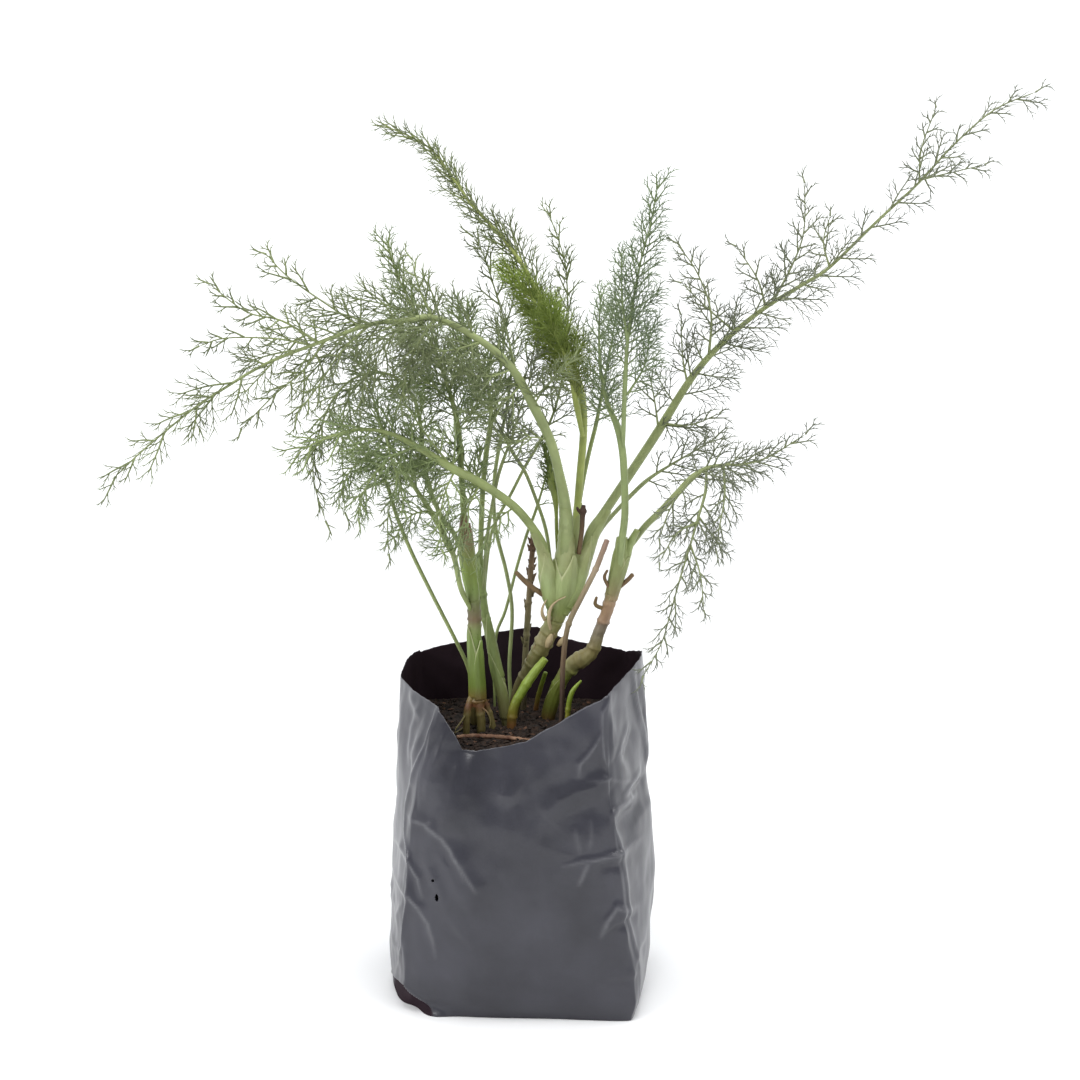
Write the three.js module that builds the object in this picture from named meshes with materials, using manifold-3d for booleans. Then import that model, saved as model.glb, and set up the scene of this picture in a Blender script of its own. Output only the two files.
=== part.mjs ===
// Potted fennel in a gusseted grow bag.
// Millimetres, +Z up. The origin is the middle of the bag's flat underside, and the
// front panel of the bag looks along -Y, turned a few degrees.

import * as THREE from "three";
import { mergeVertices } from "three/addons/utils/BufferGeometryUtils.js";
import Module from "manifold-3d";

// Clearances: between pieces that stand in one another, and round each pinna and thread
const GAP = 0.3;
const BLADE_CLEAR = 0.45;
const RIM_CLEAR = 1.5;

// Stems and stalks: sides, and rings for each stretch between two points of the route
const STEM_SIDES = 5;
const STEM_RINGS = 1.3;
const STALK_SIDES = 4;
const STALK_RINGS = 0.95;

// Joining: corners nearer than TWIN can't be kept apart, edges under SLIVER are taken out, and
// NUDGES are the offsets tried for a piece whose corners would meet those of the body it joins
const TWIN = 0.0025;
const SLIVER = 0.006;
const NUDGES = [[0, 0, 0], [0.05, 0, 0.02], [-0.05, 0, 0.03], [0.02, 0.05, 0], [0, -0.05, -0.04],
  [0.09, 0.03, 0], [-0.08, 0.04, 0.05], [0.03, -0.09, 0.06], [0, 0.1, -0.08], [0.15, 0, 0.1],
  [-0.15, 0.05, 0], [0, 0.16, 0.05], [0.05, -0.17, 0], [0.1, 0.1, 0.12], [-0.12, -0.1, 0.1],
  [0.22, -0.04, 0], [-0.21, 0, 0.13], [0.04, 0.23, -0.1], [-0.06, -0.22, 0.02]];

// Grow bag: loops from the flat bottom to the rim. Each loop runs the same way round:
// front left fold, front, front, front right fold, right, back right, back, back left, left.
const FILM = 0.8;
const BAG_COLUMNS = 24;
const BAG_LOOPS = [
  [[-47, -43, 0], [-28, -48, 0], [14, -51, 0], [57, -53, 0], [63, -8, 0], [56, 38, 0], [0, 46, 0],
    [-54, 42, 0], [-68, 0, 0]],
  [[-61, -41, 12], [-30, -52, 12], [14, -55, 12], [59, -55, 12], [67, -5, 12], [59, 42, 12], [0, 50, 12],
    [-57, 46, 12], [-70, 3, 12]],
  [[-61, -44, 65], [-30, -58, 65], [11, -60, 65], [53, -57, 65], [71, 1, 65], [61, 46, 65], [0, 56, 65],
    [-59, 48, 65], [-70, 4, 65]],
  [[-54, -43, 125], [-30, -53, 125], [10, -56, 125], [46, -55, 125], [66, 1, 125], [60, 46, 125],
    [2, 53, 125], [-57, 47, 125], [-67, 5, 125]],
  [[-43, -42, 169.5], [-28, -47, 148], [10, -52, 157], [43.5, -52, 180], [63, 0, 185], [57, 44, 173],
    [8, 50, 185], [-56, 45, 173], [-64, 5, 170.5]],
];
const DRAIN_SIDES = 6;
const DRAIN_CUT = { depth: 30, y: -50 };
const DRAIN_HOLES = [
  { at: [-46, 79], wide: 1.6, tall: 1.6 },
  { at: [-44, 70], wide: 1.8, tall: 4 },
];

// Potting soil: clearance to the film, level at the film, rise in the middle, size of the clods,
// half width and half depth of the risen middle, and the rings of its top as shares of the edge
const SOIL_CLEAR = 0.5;
const SOIL_TOP_CLEAR = 1.4;
const SOIL_EDGE = 143.5;
const SOIL_RISE = 3;
const SOIL_CLOD = 0.9;
const SOIL_MIDDLE = [60, 48];
const SOIL_RINGS = [1, 0.8, 0.45];

// Stems. A rib is a list of points with the radius there.
const LEFT_STEM = [
  [[-23.5, -10, 160, 4.4], [-23.5, -10, 168, 4.2], [-24.5, -9, 190, 3.5], [-25, -8, 216, 3.3],
    [-27, -7, 230, 3.6], [-28.5, -7, 242, 3.6], [-29.5, -7, 252, 3.1]],
  [[-27, -12, 163, 1.9], [-29, -14, 154, 1.8], [-29.5, -15, 134, 1.7]],
  [[-22.5, -12, 163, 2.3], [-21.5, -14, 152, 2.3], [-21.5, -15, 134, 2.2]],
  [[-20, -9, 162, 1.5], [-16, -10, 152, 1.4], [-12.5, -12, 134, 1.3]],
  [[-24, -6, 163, 2.4], [-25, -3, 152, 2.3], [-26, 2, 134, 2.2]],
];
const LEFT_SECOND_STEM = [
  [[-7, -1, 133, 2.4], [-9.5, -1, 158, 2.9], [-14.5, 1, 181, 2.7], [-18.5, 3, 201, 2.4],
    [-21, 4, 214, 2.6], [-22, 5, 229, 3]],
];
const MIDDLE_STEM = [
  [[-7, 12, 133, 2.6], [-2.5, 10, 160, 3.2], [4, 6, 175, 3.8], [10, 2, 188, 4.6], [15, 0, 199, 4.6],
    [18, 0, 207, 4.6], [19.5, 0, 214, 6.6], [21.5, 0, 223, 9], [22.5, 0, 232, 8.4], [22.5, -1, 243, 6.4]],
  [[19, 0, 210, 4.5], [15.5, -1, 222, 5.6], [13.5, -4, 233, 5], [12, -7.5, 241, 3.9]],
  [[20, 0, 210, 4.5], [27, 1, 222, 5.8], [31.5, 3, 234, 5], [35, 5.5, 246, 3.9]],
  [[14, -2, 216, 1.4], [4, -5, 224, 1.3], [-3.5, -7, 232, 1.1]],
  [[29.5, -1, 240, 1.2], [31, -3, 252, 1.2], [32, -4, 264, 1.7], [32, -4, 267, 0.9]],
];
const RIGHT_STEM = [
  [[10.5, 8, 132, 2.6], [15.5, 7, 157, 2.8], [20, 5, 167.5, 3], [26.5, 3, 178, 4.3], [32.5, 1, 182.5, 4.4],
    [37, 0, 187, 3.7], [40, -1, 196, 3.2], [44, -2, 207.5, 3.1], [47.5, -3, 221, 3.3], [50, -4, 232, 3.9],
    [51.5, -4, 241, 4.4]],
  [[50, -3, 222, 1.3], [55, -4, 226.5, 1.2], [58, -4, 230, 1.1]],
  [[47, -4, 220, 1.1], [43, -6, 228, 0.9], [44.5, -7, 233, 0.6]],
  [[44, -2, 210, 1.2], [38.5, -4, 213, 1], [39, -5, 218, 0.7]],
];
const OLD_STEM = [
  [[0, 24, 133, 1.6], [1.5, 24, 175, 1.6], [3.5, 24, 208, 1.5], [5, 24, 230, 1.4], [6, 24, 244, 1.5]],
];
const CUT_STALK = [
  [[20, -12, 133, 1.4], [21, -12, 163, 1.4], [21.5, -13, 185, 1.4], [24, -15, 205, 1.4],
    [30.5, -16, 220, 1.4], [38, -17, 236, 1.4], [44, -17, 252, 1.4]],
];
const LIME_SHOOT = [
  [[-6, -8, 133, 2.4], [-5, -8, 155, 2.5], [0, -8, 167, 2.5], [7, -8, 178, 2.4], [12.5, -7.5, 185, 1.8]],
];
const BACK_SHOOT = [[[5, 22, 133, 1.3], [8.5, 19, 155, 1.3], [12.5, 16, 170, 1.1]]];
const SMALL_SPROUT = [[[23, -18, 133, 1.3], [24, -17, 158, 1.4], [26, -17, 169, 1.3], [31, -17, 176, 0.6]]];

// The twig lies on the soil: places across it, its radius and how deep it beds in
const TWIG = [[-34, -20, 1], [-25, -21, 1.2], [-13, -22, 1.2], [-3, -24, 1.1], [6, -27, 0.8]];
const TWIG_BEDDING = 0.4;

// Leaf stalks. The foot that stands in a sheath is slimmer, a swollen or a bulging stretch fades
// over a number of route points, and every rib ends as thin as a thread.
const THREAD_TIP = 0.28;
const FOOT = { share: 0.7, length: 0.8 };
const SWELL = { at: 1, fade: 2 };
const BULGE = { at: 3, fade: 1.5 };

// Pinnae: angle to the rib at the foot and at the tip of the blade, in degrees, and how far angle
// and roll stray from it. Length is a share of the rib's reach, less towards the tip of the blade.
const PINNA_ANGLE = [62, 38];
const PINNA_STRAY = 14;
const PINNA_ROLL = 80;
const PINNA_LENGTH = [0.75, 1.15];
const PINNA_SHORTENING = 0.72;
const PINNA_LEAN = 0.12;
const PINNA_SAG = 0.1;
const PINNA_RADIUS = 0.5;
const PINNA_TAPER = 0.4;
const PAIR_STAGGER = [0.1, 0.45];

// Threads stand three round a slim core at short stations: the station's length, the angle of a
// thread to the core in degrees, how far it strays, and its reach as a share of the pinna or arm
const STATION = 0.9;
const LONG_PINNA = 20;
const LONG_STATIONS = [0.4, 0.7];
const SHORT_STATIONS = [0.5];
const ARM_STATIONS = { start: 0.2, span: 0.72, offset: 0.3 };
const THREAD_ANGLE = 46;
const THREAD_STRAY = 16;
const THREAD_LENGTH = [0.75, 1.25];
const THREAD_SHORTENING = [1.1, 0.6];
const THREAD_SHARE = 0.4;
const ARM_THREAD_SHARE = 0.7;
const THREAD_RADIUS = 0.4;

// Ways to turn, in degrees, or to shorten what would touch another leaf, and the distance along X
// past which two pieces can't touch
const TURNS = [0, 28, -28, 56, -56, 90, -90, 130, -130];
const SHRINKS = [1, 0.75, 0.5];
const FAR_APART = 90;
const TAKEN_PER_STRETCH = 3;

// Leaves. Each rib has its thickness (radius at the foot), the route point where its blade starts,
// its number of pairs of pinnae, their reach and its route. The first rib is the stalk. A rib with
// no blade start is an arm, with threads of its own.
const LEAVES = [
  {
    name: "leaf_left_arch",
    seed: 11,
    ribs: [
      { thick: 2.5, swell: 1.2, from: 5, pairs: 8, reach: 30, route: [[21, -3, 234], [23, -5, 253],
        [22, -8, 269], [19, -12, 286], [14.5, -17, 304], [6, -22, 323], [-4.5, -28, 343], [-19.5, -34, 358],
        [-42, -41, 371], [-56.5, -45, 370.5], [-74, -49, 369], [-98.5, -54, 361], [-124.5, -57, 351],
        [-146, -59, 338.5], [-160.5, -60, 329], [-185, -61, 309], [-200, -62, 295]] },
      { thick: 0.9, pairs: 2, reach: 13, route: [[-43, -41, 371], [-49.5, -38, 384], [-54, -34, 400]] },
      { thick: 0.8, pairs: 3, reach: 16, route: [[-78, -50, 368], [-89.5, -44, 374.5], [-113.5, -37, 390],
        [-125.5, -34, 402]] },
      { thick: 0.8, pairs: 4, reach: 13, route: [[-98.5, -54, 361], [-115.5, -58, 372.5],
        [-132.5, -61, 377.5], [-150, -64, 392]] },
      { thick: 0.7, pairs: 3, reach: 13, route: [[-102, -54.4, 360], [-120.5, -48, 362], [-145, -44, 361.5],
        [-159, -42, 357]] },
      { thick: 0.8, pairs: 3, reach: 15, route: [[-95, -53.4, 362.5], [-106.5, -52, 347], [-121.5, -50, 334],
        [-139, -48, 316]] },
      { thick: 0.8, pairs: 3, reach: 14, route: [[-74, -49, 369], [-88, -53, 356], [-99, -56, 340],
        [-110, -58, 326]] },
    ],
  },
  {
    name: "leaf_lower_left_arch",
    seed: 23,
    ribs: [
      { thick: 2.2, from: 5, pairs: 5, reach: 26, route: [[14, -3, 228], [12, -8, 243], [7.5, -13, 254],
        [-3.5, -21, 270], [-20.5, -31, 285], [-33, -38, 293.5], [-52.5, -47, 308], [-67, -52, 316],
        [-81.5, -56, 318], [-97.5, -59, 313.5], [-108.5, -60, 308]] },
      { thick: 0.8, pairs: 3, reach: 16, route: [[-34, -38, 294], [-45, -44, 310], [-57, -48, 329],
        [-66.5, -50, 344]] },
      { thick: 0.8, pairs: 3, reach: 15, route: [[-52.5, -47, 308], [-67.5, -50, 300], [-77.5, -53, 287],
        [-81, -54, 272]] },
    ],
  },
  {
    name: "leaf_young_tall",
    seed: 37,
    ribs: [
      { thick: 2, from: 5, pairs: 9, reach: 21, lean: 0.6, route: [[26.5, 3, 232], [28, 5, 251],
        [30, 8, 277], [32, 13, 302], [31, 16, 320], [25.5, 19, 337], [14.5, 23, 358], [2.5, 27, 383],
        [-9.5, 30, 400], [-25.5, 33, 416.5], [-35.5, 36, 430.5], [-49, 39, 446.5], [-71.5, 42, 457]] },
    ],
  },
  {
    name: "young_leaf_cluster",
    young: true,
    seed: 41,
    ribs: [
      { thick: 1.6, from: 1, pairs: 7, reach: 21, lean: 0.7, route: [[31.5, 9.4, 300], [28, 9.6, 318],
        [24, 12, 336], [17.5, 14, 352], [8, 16, 368], [-6, 19, 384]] },
    ],
  },
  {
    name: "folded_young_leaf",
    young: true,
    seed: 43,
    ribs: [
      { thick: 1, bulge: 1.8, from: 2, pairs: 4, reach: 7, lean: 0.6, route: [[18.5, 2, 236], [18, 2, 253],
        [17.5, 2, 267], [15.5, 1, 278], [14, 0, 288], [11.5, -1, 297]] },
    ],
  },
  {
    name: "leaf_big_right",
    seed: 53,
    ribs: [
      { thick: 2.4, from: 4, pairs: 9, reach: 24, route: [[31.5, 3, 233], [35.5, 6, 249], [43, 11, 259],
        [58, 19, 280], [71.5, 24, 300], [86.5, 28, 324], [97.5, 30, 338], [111, 32, 351], [127, 34, 363.5],
        [146, 36, 375], [160, 37, 384], [184.5, 39, 408], [205.5, 41, 427.5], [222, 42, 446],
        [243, 43, 464.5], [265, 43, 474]] },
      { thick: 0.8, pairs: 2, reach: 13, route: [[127, 34, 363.5], [122, 31, 379], [110, 28, 397]] },
      { thick: 0.9, pairs: 4, reach: 15, route: [[130, 34, 365.5], [140, 38, 383.5], [146.5, 41, 402],
        [146.5, 43, 428]] },
      { thick: 0.9, pairs: 4, reach: 14, route: [[97.5, 30, 338], [98, 26, 362], [90.5, 23, 383],
        [79, 21, 399.5]] },
      { thick: 0.8, pairs: 2, reach: 12, route: [[111, 32, 351], [97, 40, 362], [83, 46, 375]] },
      { thick: 0.8, pairs: 2, reach: 12, route: [[86.5, 28, 324], [84, 33, 338], [83, 38, 360]] },
      { thick: 0.7, pairs: 2, reach: 12, route: [[160, 37, 384], [156, 33, 398], [159, 31, 412]] },
      { thick: 0.6, pairs: 3, reach: 10, route: [[205.5, 41, 427.5], [205.5, 38, 445], [212, 35, 467]] },
      { thick: 0.6, pairs: 2, reach: 10, route: [[207, 41.2, 429], [222, 45, 432], [241, 48, 436]] },
      { thick: 0.8, pairs: 2, reach: 13, route: [[71.5, 24, 300], [69, 19, 317], [65.5, 16, 334]] },
      { thick: 0.8, pairs: 2, reach: 12, route: [[73.5, 24.4, 303.5], [88.5, 20, 304], [103.5, 17, 311]] },
    ],
  },
  {
    name: "leaf_back_right",
    seed: 61,
    ribs: [
      { thick: 1.2, from: 3, pairs: 3, reach: 17, route: [[31, 6, 230], [40.5, 16, 247], [50, 25, 256.5],
        [65, 33, 270], [78.5, 38, 278], [91.5, 41, 285], [103, 43, 292]] },
    ],
  },
  {
    name: "leaf_back_middle",
    seed: 67,
    ribs: [
      { thick: 1.2, from: 4, pairs: 4, reach: 17, route: [[25.5, 7.5, 231], [28.5, 13, 253], [32, 19, 274],
        [35.5, 23, 290], [39, 26, 304], [42.5, 28, 323], [47, 30, 347], [50, 31, 368]] },
    ],
  },
  {
    name: "leaf_right_upright",
    seed: 71,
    ribs: [
      { thick: 1.9, from: 6, pairs: 4, reach: 17, route: [[50.5, -6, 229], [51.5, -9, 247], [53, -10, 261.5],
        [53, -9, 273.5], [52.5, -8, 285.5], [51.5, -7, 297], [49, -5, 308.5], [44, -3, 320], [40.5, 0, 336],
        [39.5, 3, 357], [40.5, 5, 377]] },
      { thick: 1.3, from: 2, pairs: 6, reach: 21, route: [[52, -7, 295.5], [52, -11, 313], [52.5, -13, 334],
        [53.5, -15, 355], [56, -16, 375], [59.5, -17, 395], [64, -18, 413], [68, -19, 436]] },
      { thick: 0.8, pairs: 3, reach: 13, route: [[53.5, -15, 355], [50.5, -20, 376], [49.5, -24, 403]] },
      { thick: 0.8, pairs: 2, reach: 13, route: [[53.5, -13, 326.5], [62.5, -8, 341], [65, -5, 358]] },
    ],
  },
  {
    name: "leaf_right_droop",
    seed: 83,
    ribs: [
      { thick: 1.7, from: 6, pairs: 5, reach: 20, route: [[51.5, -1.5, 232], [54, 0, 240.5], [58, 1, 246],
        [64, -2, 255], [71.5, -6, 264], [80, -11, 275], [87, -15, 284], [94, -18, 289.5], [102.5, -21, 292],
        [112, -23, 293], [124.5, -25, 297], [144, -27, 310]] },
      { thick: 0.9, from: 1, pairs: 5, reach: 15, route: [[94, -18, 289.5], [93.5, -23, 279], [90, -25, 266],
        [86, -26, 251.5], [81, -28, 234.5], [76, -30, 216], [71.5, -31, 200], [62, -31, 182]] },
      { thick: 0.8, pairs: 3, reach: 13, route: [[102.5, -21, 292], [103, -26, 277], [100.5, -29, 262],
        [98.5, -30, 250]] },
      { thick: 0.7, pairs: 2, reach: 9, route: [[90, -25, 266], [97.5, -20, 255], [104, -17, 245]] },
      { thick: 0.7, pairs: 2, reach: 10, route: [[86, -26, 251.5], [91, -31, 237], [93, -34, 218]] },
      { thick: 0.7, pairs: 2, reach: 9, route: [[89, -25, 263], [78.5, -31, 258.5], [69.5, -35, 244]] },
      { thick: 0.8, pairs: 2, reach: 12, route: [[87, -15, 284], [76.5, -19, 270], [70, -22, 253]] },
    ],
  },
  {
    name: "leaf_left_upright",
    seed: 97,
    ribs: [
      { thick: 1.6, from: 3, pairs: 6, reach: 25, route: [[-29, -6, 244], [-30, -5, 264], [-31, -4, 282],
        [-32.5, -3, 306], [-35.5, -2, 321], [-41, 0, 338], [-47.5, 2, 354], [-55.5, 4, 369], [-63, 5, 385],
        [-68.5, 6, 401]] },
      { thick: 0.8, pairs: 3, reach: 15, route: [[-37, -1, 326], [-29, 4, 346], [-26.5, 8, 369]] },
      { thick: 0.8, pairs: 2, reach: 13, route: [[-41, 0, 338], [-54, -4, 350], [-65.5, -8, 365]] },
    ],
  },
  {
    name: "leaf_left_second",
    seed: 101,
    ribs: [
      { thick: 1.5, from: 4, pairs: 5, reach: 21, route: [[-22, 5.5, 221], [-21.5, 7, 246], [-20.5, 10, 270],
        [-18.5, 13, 291], [-16, 16, 307.5], [-17, 19, 321], [-22, 22, 337], [-28, 24, 350], [-34, 26, 366]] },
      { thick: 0.7, pairs: 2, reach: 12, route: [[-17, 19, 321], [-10, 15, 339], [-9.5, 12, 359]] },
    ],
  },
  {
    name: "leaf_left_outer",
    seed: 107,
    ribs: [
      { thick: 1.5, from: 4, pairs: 5, reach: 22, route: [[-26.5, -10, 212], [-31.5, -15, 225.5],
        [-34.5, -18, 242], [-39.5, -21, 255], [-46.5, -24, 269], [-55.5, -26, 284], [-63, -28, 298],
        [-70, -29, 314], [-74.5, -30, 330], [-79, -31, 345], [-85, -31, 358]] },
      { thick: 0.8, pairs: 3, reach: 13, route: [[-63, -28, 298], [-75, -32, 300], [-86, -35, 292],
        [-92, -36, 277]] },
      { thick: 0.7, pairs: 2, reach: 11, route: [[-46.5, -24, 269], [-56.5, -28, 267], [-65, -30, 255]] },
    ],
  },
  {
    name: "leaf_left_hanging",
    seed: 113,
    ribs: [
      { thick: 1.3, from: 4, pairs: 7, reach: 17, route: [[-30, -9.5, 240], [-34.5, -12, 253],
        [-40.5, -13, 262], [-46, -12, 274], [-50, -11, 291], [-51, -12, 308], [-54.5, -14, 325],
        [-64, -18, 337], [-75.5, -21, 339.5], [-86, -24, 336], [-94.5, -26, 327], [-100, -27, 315],
        [-103.5, -28, 303], [-105, -28, 286], [-99, -28, 263]] },
      { thick: 0.7, pairs: 3, reach: 12, route: [[-75.5, -21, 339.5], [-88, -18, 325], [-91, -17, 304],
        [-90.5, -16, 264]] },
      { thick: 0.7, pairs: 3, reach: 11, route: [[-50, -11, 291], [-62.5, -8, 281], [-69, -6, 262],
        [-69, -5, 240]] },
    ],
  },
  {
    name: "leaf_left_slim",
    seed: 127,
    ribs: [
      { thick: 1.1, from: 8, pairs: 3, reach: 13, route: [[-23, 8, 134], [-25, 3, 158], [-28.5, 1, 177],
        [-34.5, -1, 192], [-41.5, -2, 207], [-48, -3, 221], [-57, -4, 241], [-64.5, -3, 260],
        [-70.5, -1, 279], [-80.5, 1, 292], [-90.5, 2, 303], [-94, 2, 314]] },
      { thick: 0.6, pairs: 2, reach: 9, route: [[-70.5, -1, 279], [-82.5, -4, 273], [-83, -6, 260]] },
    ],
  },
  {
    name: "leaf_thin_left",
    seed: 131,
    ribs: [
      { thick: 1, from: 4, pairs: 4, reach: 16, route: [[15.5, 4, 231], [12.5, 9, 250], [7.5, 13, 265],
        [1.5, 15, 280], [-5, 17, 290], [-12.5, 20, 304], [-20, 27, 317], [-28.5, 32, 328]] },
    ],
  },
  {
    name: "leaf_thin_right",
    seed: 137,
    ribs: [
      { thick: 1, from: 3, pairs: 4, reach: 16, route: [[-20.5, 2.5, 219], [-18, 0, 249], [-13.5, 3, 275],
        [-10.5, 5, 286], [-6, 7, 298], [-1, 8, 314], [4.5, 9, 331], [8, 10, 345]] },
    ],
  },
  {
    name: "leaf_back_top",
    seed: 139,
    ribs: [
      { thick: 0.9, from: 5, pairs: 5, reach: 15, route: [[-20.3, 5.5, 212], [-17.5, 14, 240],
        [-14, 18, 252], [-6, 22, 266], [1.5, 26, 280], [10, 30, 294], [17, 32, 309], [22, 34, 331],
        [24, 36, 353], [23.5, 38, 375], [21.5, 39, 390], [12, 41, 417]] },
    ],
  },
  {
    name: "leaf_back_left",
    seed: 149,
    ribs: [
      { thick: 1.1, from: 7, pairs: 5, reach: 17, route: [[-5, 22, 133], [-6.5, 22, 157], [-7, 23, 173],
        [-5.5, 25, 201], [-8.5, 27, 222], [-14, 29, 245], [-15, 31, 269], [-11.5, 33, 293], [-7.5, 34, 314],
        [-5.5, 35, 334], [-8, 36, 351], [-15, 38, 375], [-19.5, 39, 389], [-25.5, 40, 400]] },
      { thick: 0.6, pairs: 2, reach: 12, route: [[-7.5, 34, 314], [4, 32, 333], [8.5, 30, 355]] },
    ],
  },
  {
    name: "leaf_thin_back",
    seed: 151,
    ribs: [
      { thick: 0.9, from: 5, pairs: 2, reach: 8, route: [[-15, 32, 133], [-15, 33, 180], [-9, 35, 199],
        [-2.5, 37, 224], [3, 38, 242], [7.5, 39, 254], [14, 41, 277], [16, 41, 291]] },
    ],
  },
];

// Colours
const FILM_BLACK = new THREE.MeshStandardMaterial({ color: 0x3a3a42, roughness: 0.4, metalness: 0 });
const SOIL_BROWN = new THREE.MeshStandardMaterial({ color: 0x241a14, roughness: 1, metalness: 0 });
const STEM_GREEN = new THREE.MeshStandardMaterial({ color: 0xa3b482, roughness: 0.55, metalness: 0 });
const LIME_GREEN = new THREE.MeshStandardMaterial({ color: 0x86a433, roughness: 0.5, metalness: 0 });
const FROND_GREEN = new THREE.MeshStandardMaterial({ color: 0x5c7a50, roughness: 0.7, metalness: 0 });
const YOUNG_GREEN = new THREE.MeshStandardMaterial({ color: 0x7c9a32, roughness: 0.7, metalness: 0 });
const DRY_BROWN = new THREE.MeshStandardMaterial({ color: 0x7a5a42, roughness: 0.9, metalness: 0 });

// The way the blades face, a little upwards and to the front
const FACING = new THREE.Vector3(0, -1, 0.2).normalize();

const wasm = await Module();
wasm.setup();

// A closed geometry as a solid that can be joined and cut
function solid(geometry) {
  geometry.deleteAttribute("normal");
  geometry.deleteAttribute("uv");
  const merged = mergeVertices(geometry, 1e-4);
  return new wasm.Manifold(new wasm.Mesh({
    numProp: 3,
    vertProperties: Float32Array.from(merged.attributes.position.array),
    triVerts: Uint32Array.from(merged.index.array),
  }));
}

// The largest body of a solid, as a named mesh: slivers that a cut leaves are dropped
function namedMesh(name, shape, material) {
  const bodies = shape.decompose();
  bodies.sort((a, b) => b.volume() - a.volume());
  const mesh = bodies[0].getMesh();
  const geometry = new THREE.BufferGeometry();
  geometry.setAttribute("position", new THREE.Float32BufferAttribute(mesh.vertProperties, 3));
  geometry.setIndex(Array.from(mesh.triVerts));
  const piece = new THREE.Mesh(geometry, material);
  piece.name = name;
  return piece;
}

// Faces between rings of vertices that run the same way round, closed at both ends. Past the
// ring called turn, the rings come back down and the faces are split along their other corners.
function ringedGeometry(rings, turn = rings.length) {
  const sides = rings[0].length;
  const positions = rings.flat().flatMap((p) => [p.x, p.y, p.z]);
  const faces = [];
  for (let i = 0; i + 1 < rings.length; i += 1) {
    for (let j = 0; j < sides; j += 1) {
      const a = i * sides + j;
      const b = i * sides + ((j + 1) % sides);
      if (i < turn) {
        faces.push(a, b, b + sides, a, b + sides, a + sides);
      } else {
        faces.push(a, b, a + sides, b, b + sides, a + sides);
      }
    }
  }
  const last = (rings.length - 1) * sides;
  for (let j = 1; j + 1 < sides; j += 1) {
    faces.push(0, j + 1, j, last, last + j, last + j + 1);
  }
  const geometry = new THREE.BufferGeometry();
  geometry.setAttribute("position", new THREE.Float32BufferAttribute(positions, 3));
  geometry.setIndex(faces);
  return geometry;
}

function vectors(points) {
  return points.map(([x, y, z]) => new THREE.Vector3(x, y, z));
}

// A tapered stalk along a smooth route, with its radius given at each share of the route
function stalk(route, radiusAt, sides, steps, widen = 0) {
  const curve = new THREE.CatmullRomCurve3(vectors(route), false, "catmullrom", 0.5);
  const frames = curve.computeFrenetFrames(steps, false);
  const rings = [];
  for (let i = 0; i <= steps; i += 1) {
    const share = i / steps;
    const centre = curve.getPointAt(share);
    const radius = radiusAt(curve.getUtoTmapping(share)) + widen;
    if (i === 0) {
      centre.addScaledVector(frames.tangents[0], -widen);
    }
    if (i === steps) {
      centre.addScaledVector(frames.tangents[steps], widen);
    }
    const ring = [];
    for (let j = 0; j < sides; j += 1) {
      const angle = (2 * Math.PI * j) / sides;
      ring.push(centre.clone()
        .addScaledVector(frames.normals[i], radius * Math.cos(angle))
        .addScaledVector(frames.binormals[i], radius * Math.sin(angle)));
    }
    rings.push(ring);
  }
  return solid(ringedGeometry(rings));
}

// Radius between the points of a rib, from the radius written at each
function radiusFromPoints(points) {
  return (t) => {
    const place = Math.min(t * (points.length - 1), points.length - 1.0001);
    const i = Math.floor(place);
    return THREE.MathUtils.lerp(points[i][3], points[i + 1][3], place - i);
  };
}

function stemRib(points, widen = 0) {
  const steps = Math.max(2, Math.round((points.length - 1) * STEM_RINGS));
  return stalk(points, radiusFromPoints(points), STEM_SIDES, steps, widen);
}

function stemSolid(ribs, widen = 0) {
  return wasm.Manifold.union(ribs.map((points) => stemRib(points, widen)));
}

// Bag film and soil
const bagColumns = [];
for (let j = 0; j < BAG_COLUMNS; j += 1) {
  bagColumns.push([]);
}
for (const loop of BAG_LOOPS) {
  const curve = new THREE.CatmullRomCurve3(vectors(loop), true, "catmullrom", 0.5);
  for (let j = 0; j < BAG_COLUMNS; j += 1) {
    bagColumns[j].push(curve.getPoint(j / BAG_COLUMNS));
  }
}

// The loop moved inwards, square to itself
function inset(loop, distance) {
  return loop.map((p, j) => {
    const before = loop[(j + loop.length - 1) % loop.length];
    const after = loop[(j + 1) % loop.length];
    const inwards = new THREE.Vector3(before.y - after.y, after.x - before.x, 0).normalize();
    return p.clone().addScaledVector(inwards, distance);
  });
}

// The bag's outline at a height
function bagLoopAt(height) {
  return bagColumns.map((column) => {
    let i = 0;
    while (i < column.length - 2 && column[i + 1].z < height) {
      i += 1;
    }
    const share = (height - column[i].z) / (column[i + 1].z - column[i].z);
    return column[i].clone().lerp(column[i + 1], share).setZ(height);
  });
}

function growBag() {
  const outer = BAG_LOOPS.map((_, i) => bagColumns.map((column) => column[i]));
  const inner = outer.map((loop) => inset(loop, FILM));
  inner[0].forEach((p) => p.setZ(FILM));
  const rings = [...outer, ...inner.reverse()];
  let film = solid(ringedGeometry(rings, outer.length));
  for (const hole of DRAIN_HOLES) {
    const punch = new THREE.CylinderGeometry(hole.wide / 2, hole.wide / 2, DRAIN_CUT.depth, DRAIN_SIDES);
    punch.scale(1, 1, hole.tall / hole.wide);
    punch.translate(hole.at[0], DRAIN_CUT.y, hole.at[1]);
    film = film.subtract(solid(punch));
  }
  return film;
}

function soilHeight(x, y) {
  const away = Math.min(1, Math.hypot(x / SOIL_MIDDLE[0], y / SOIL_MIDDLE[1]));
  const clods = Math.sin(x * 0.42 + 1) * Math.cos(y * 0.5) + 0.6 * Math.sin(x * 0.19 - y * 0.27);
  return SOIL_EDGE + SOIL_RISE * (1 - away * away) + SOIL_CLOD * clods * (1 - away ** 4);
}

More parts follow.
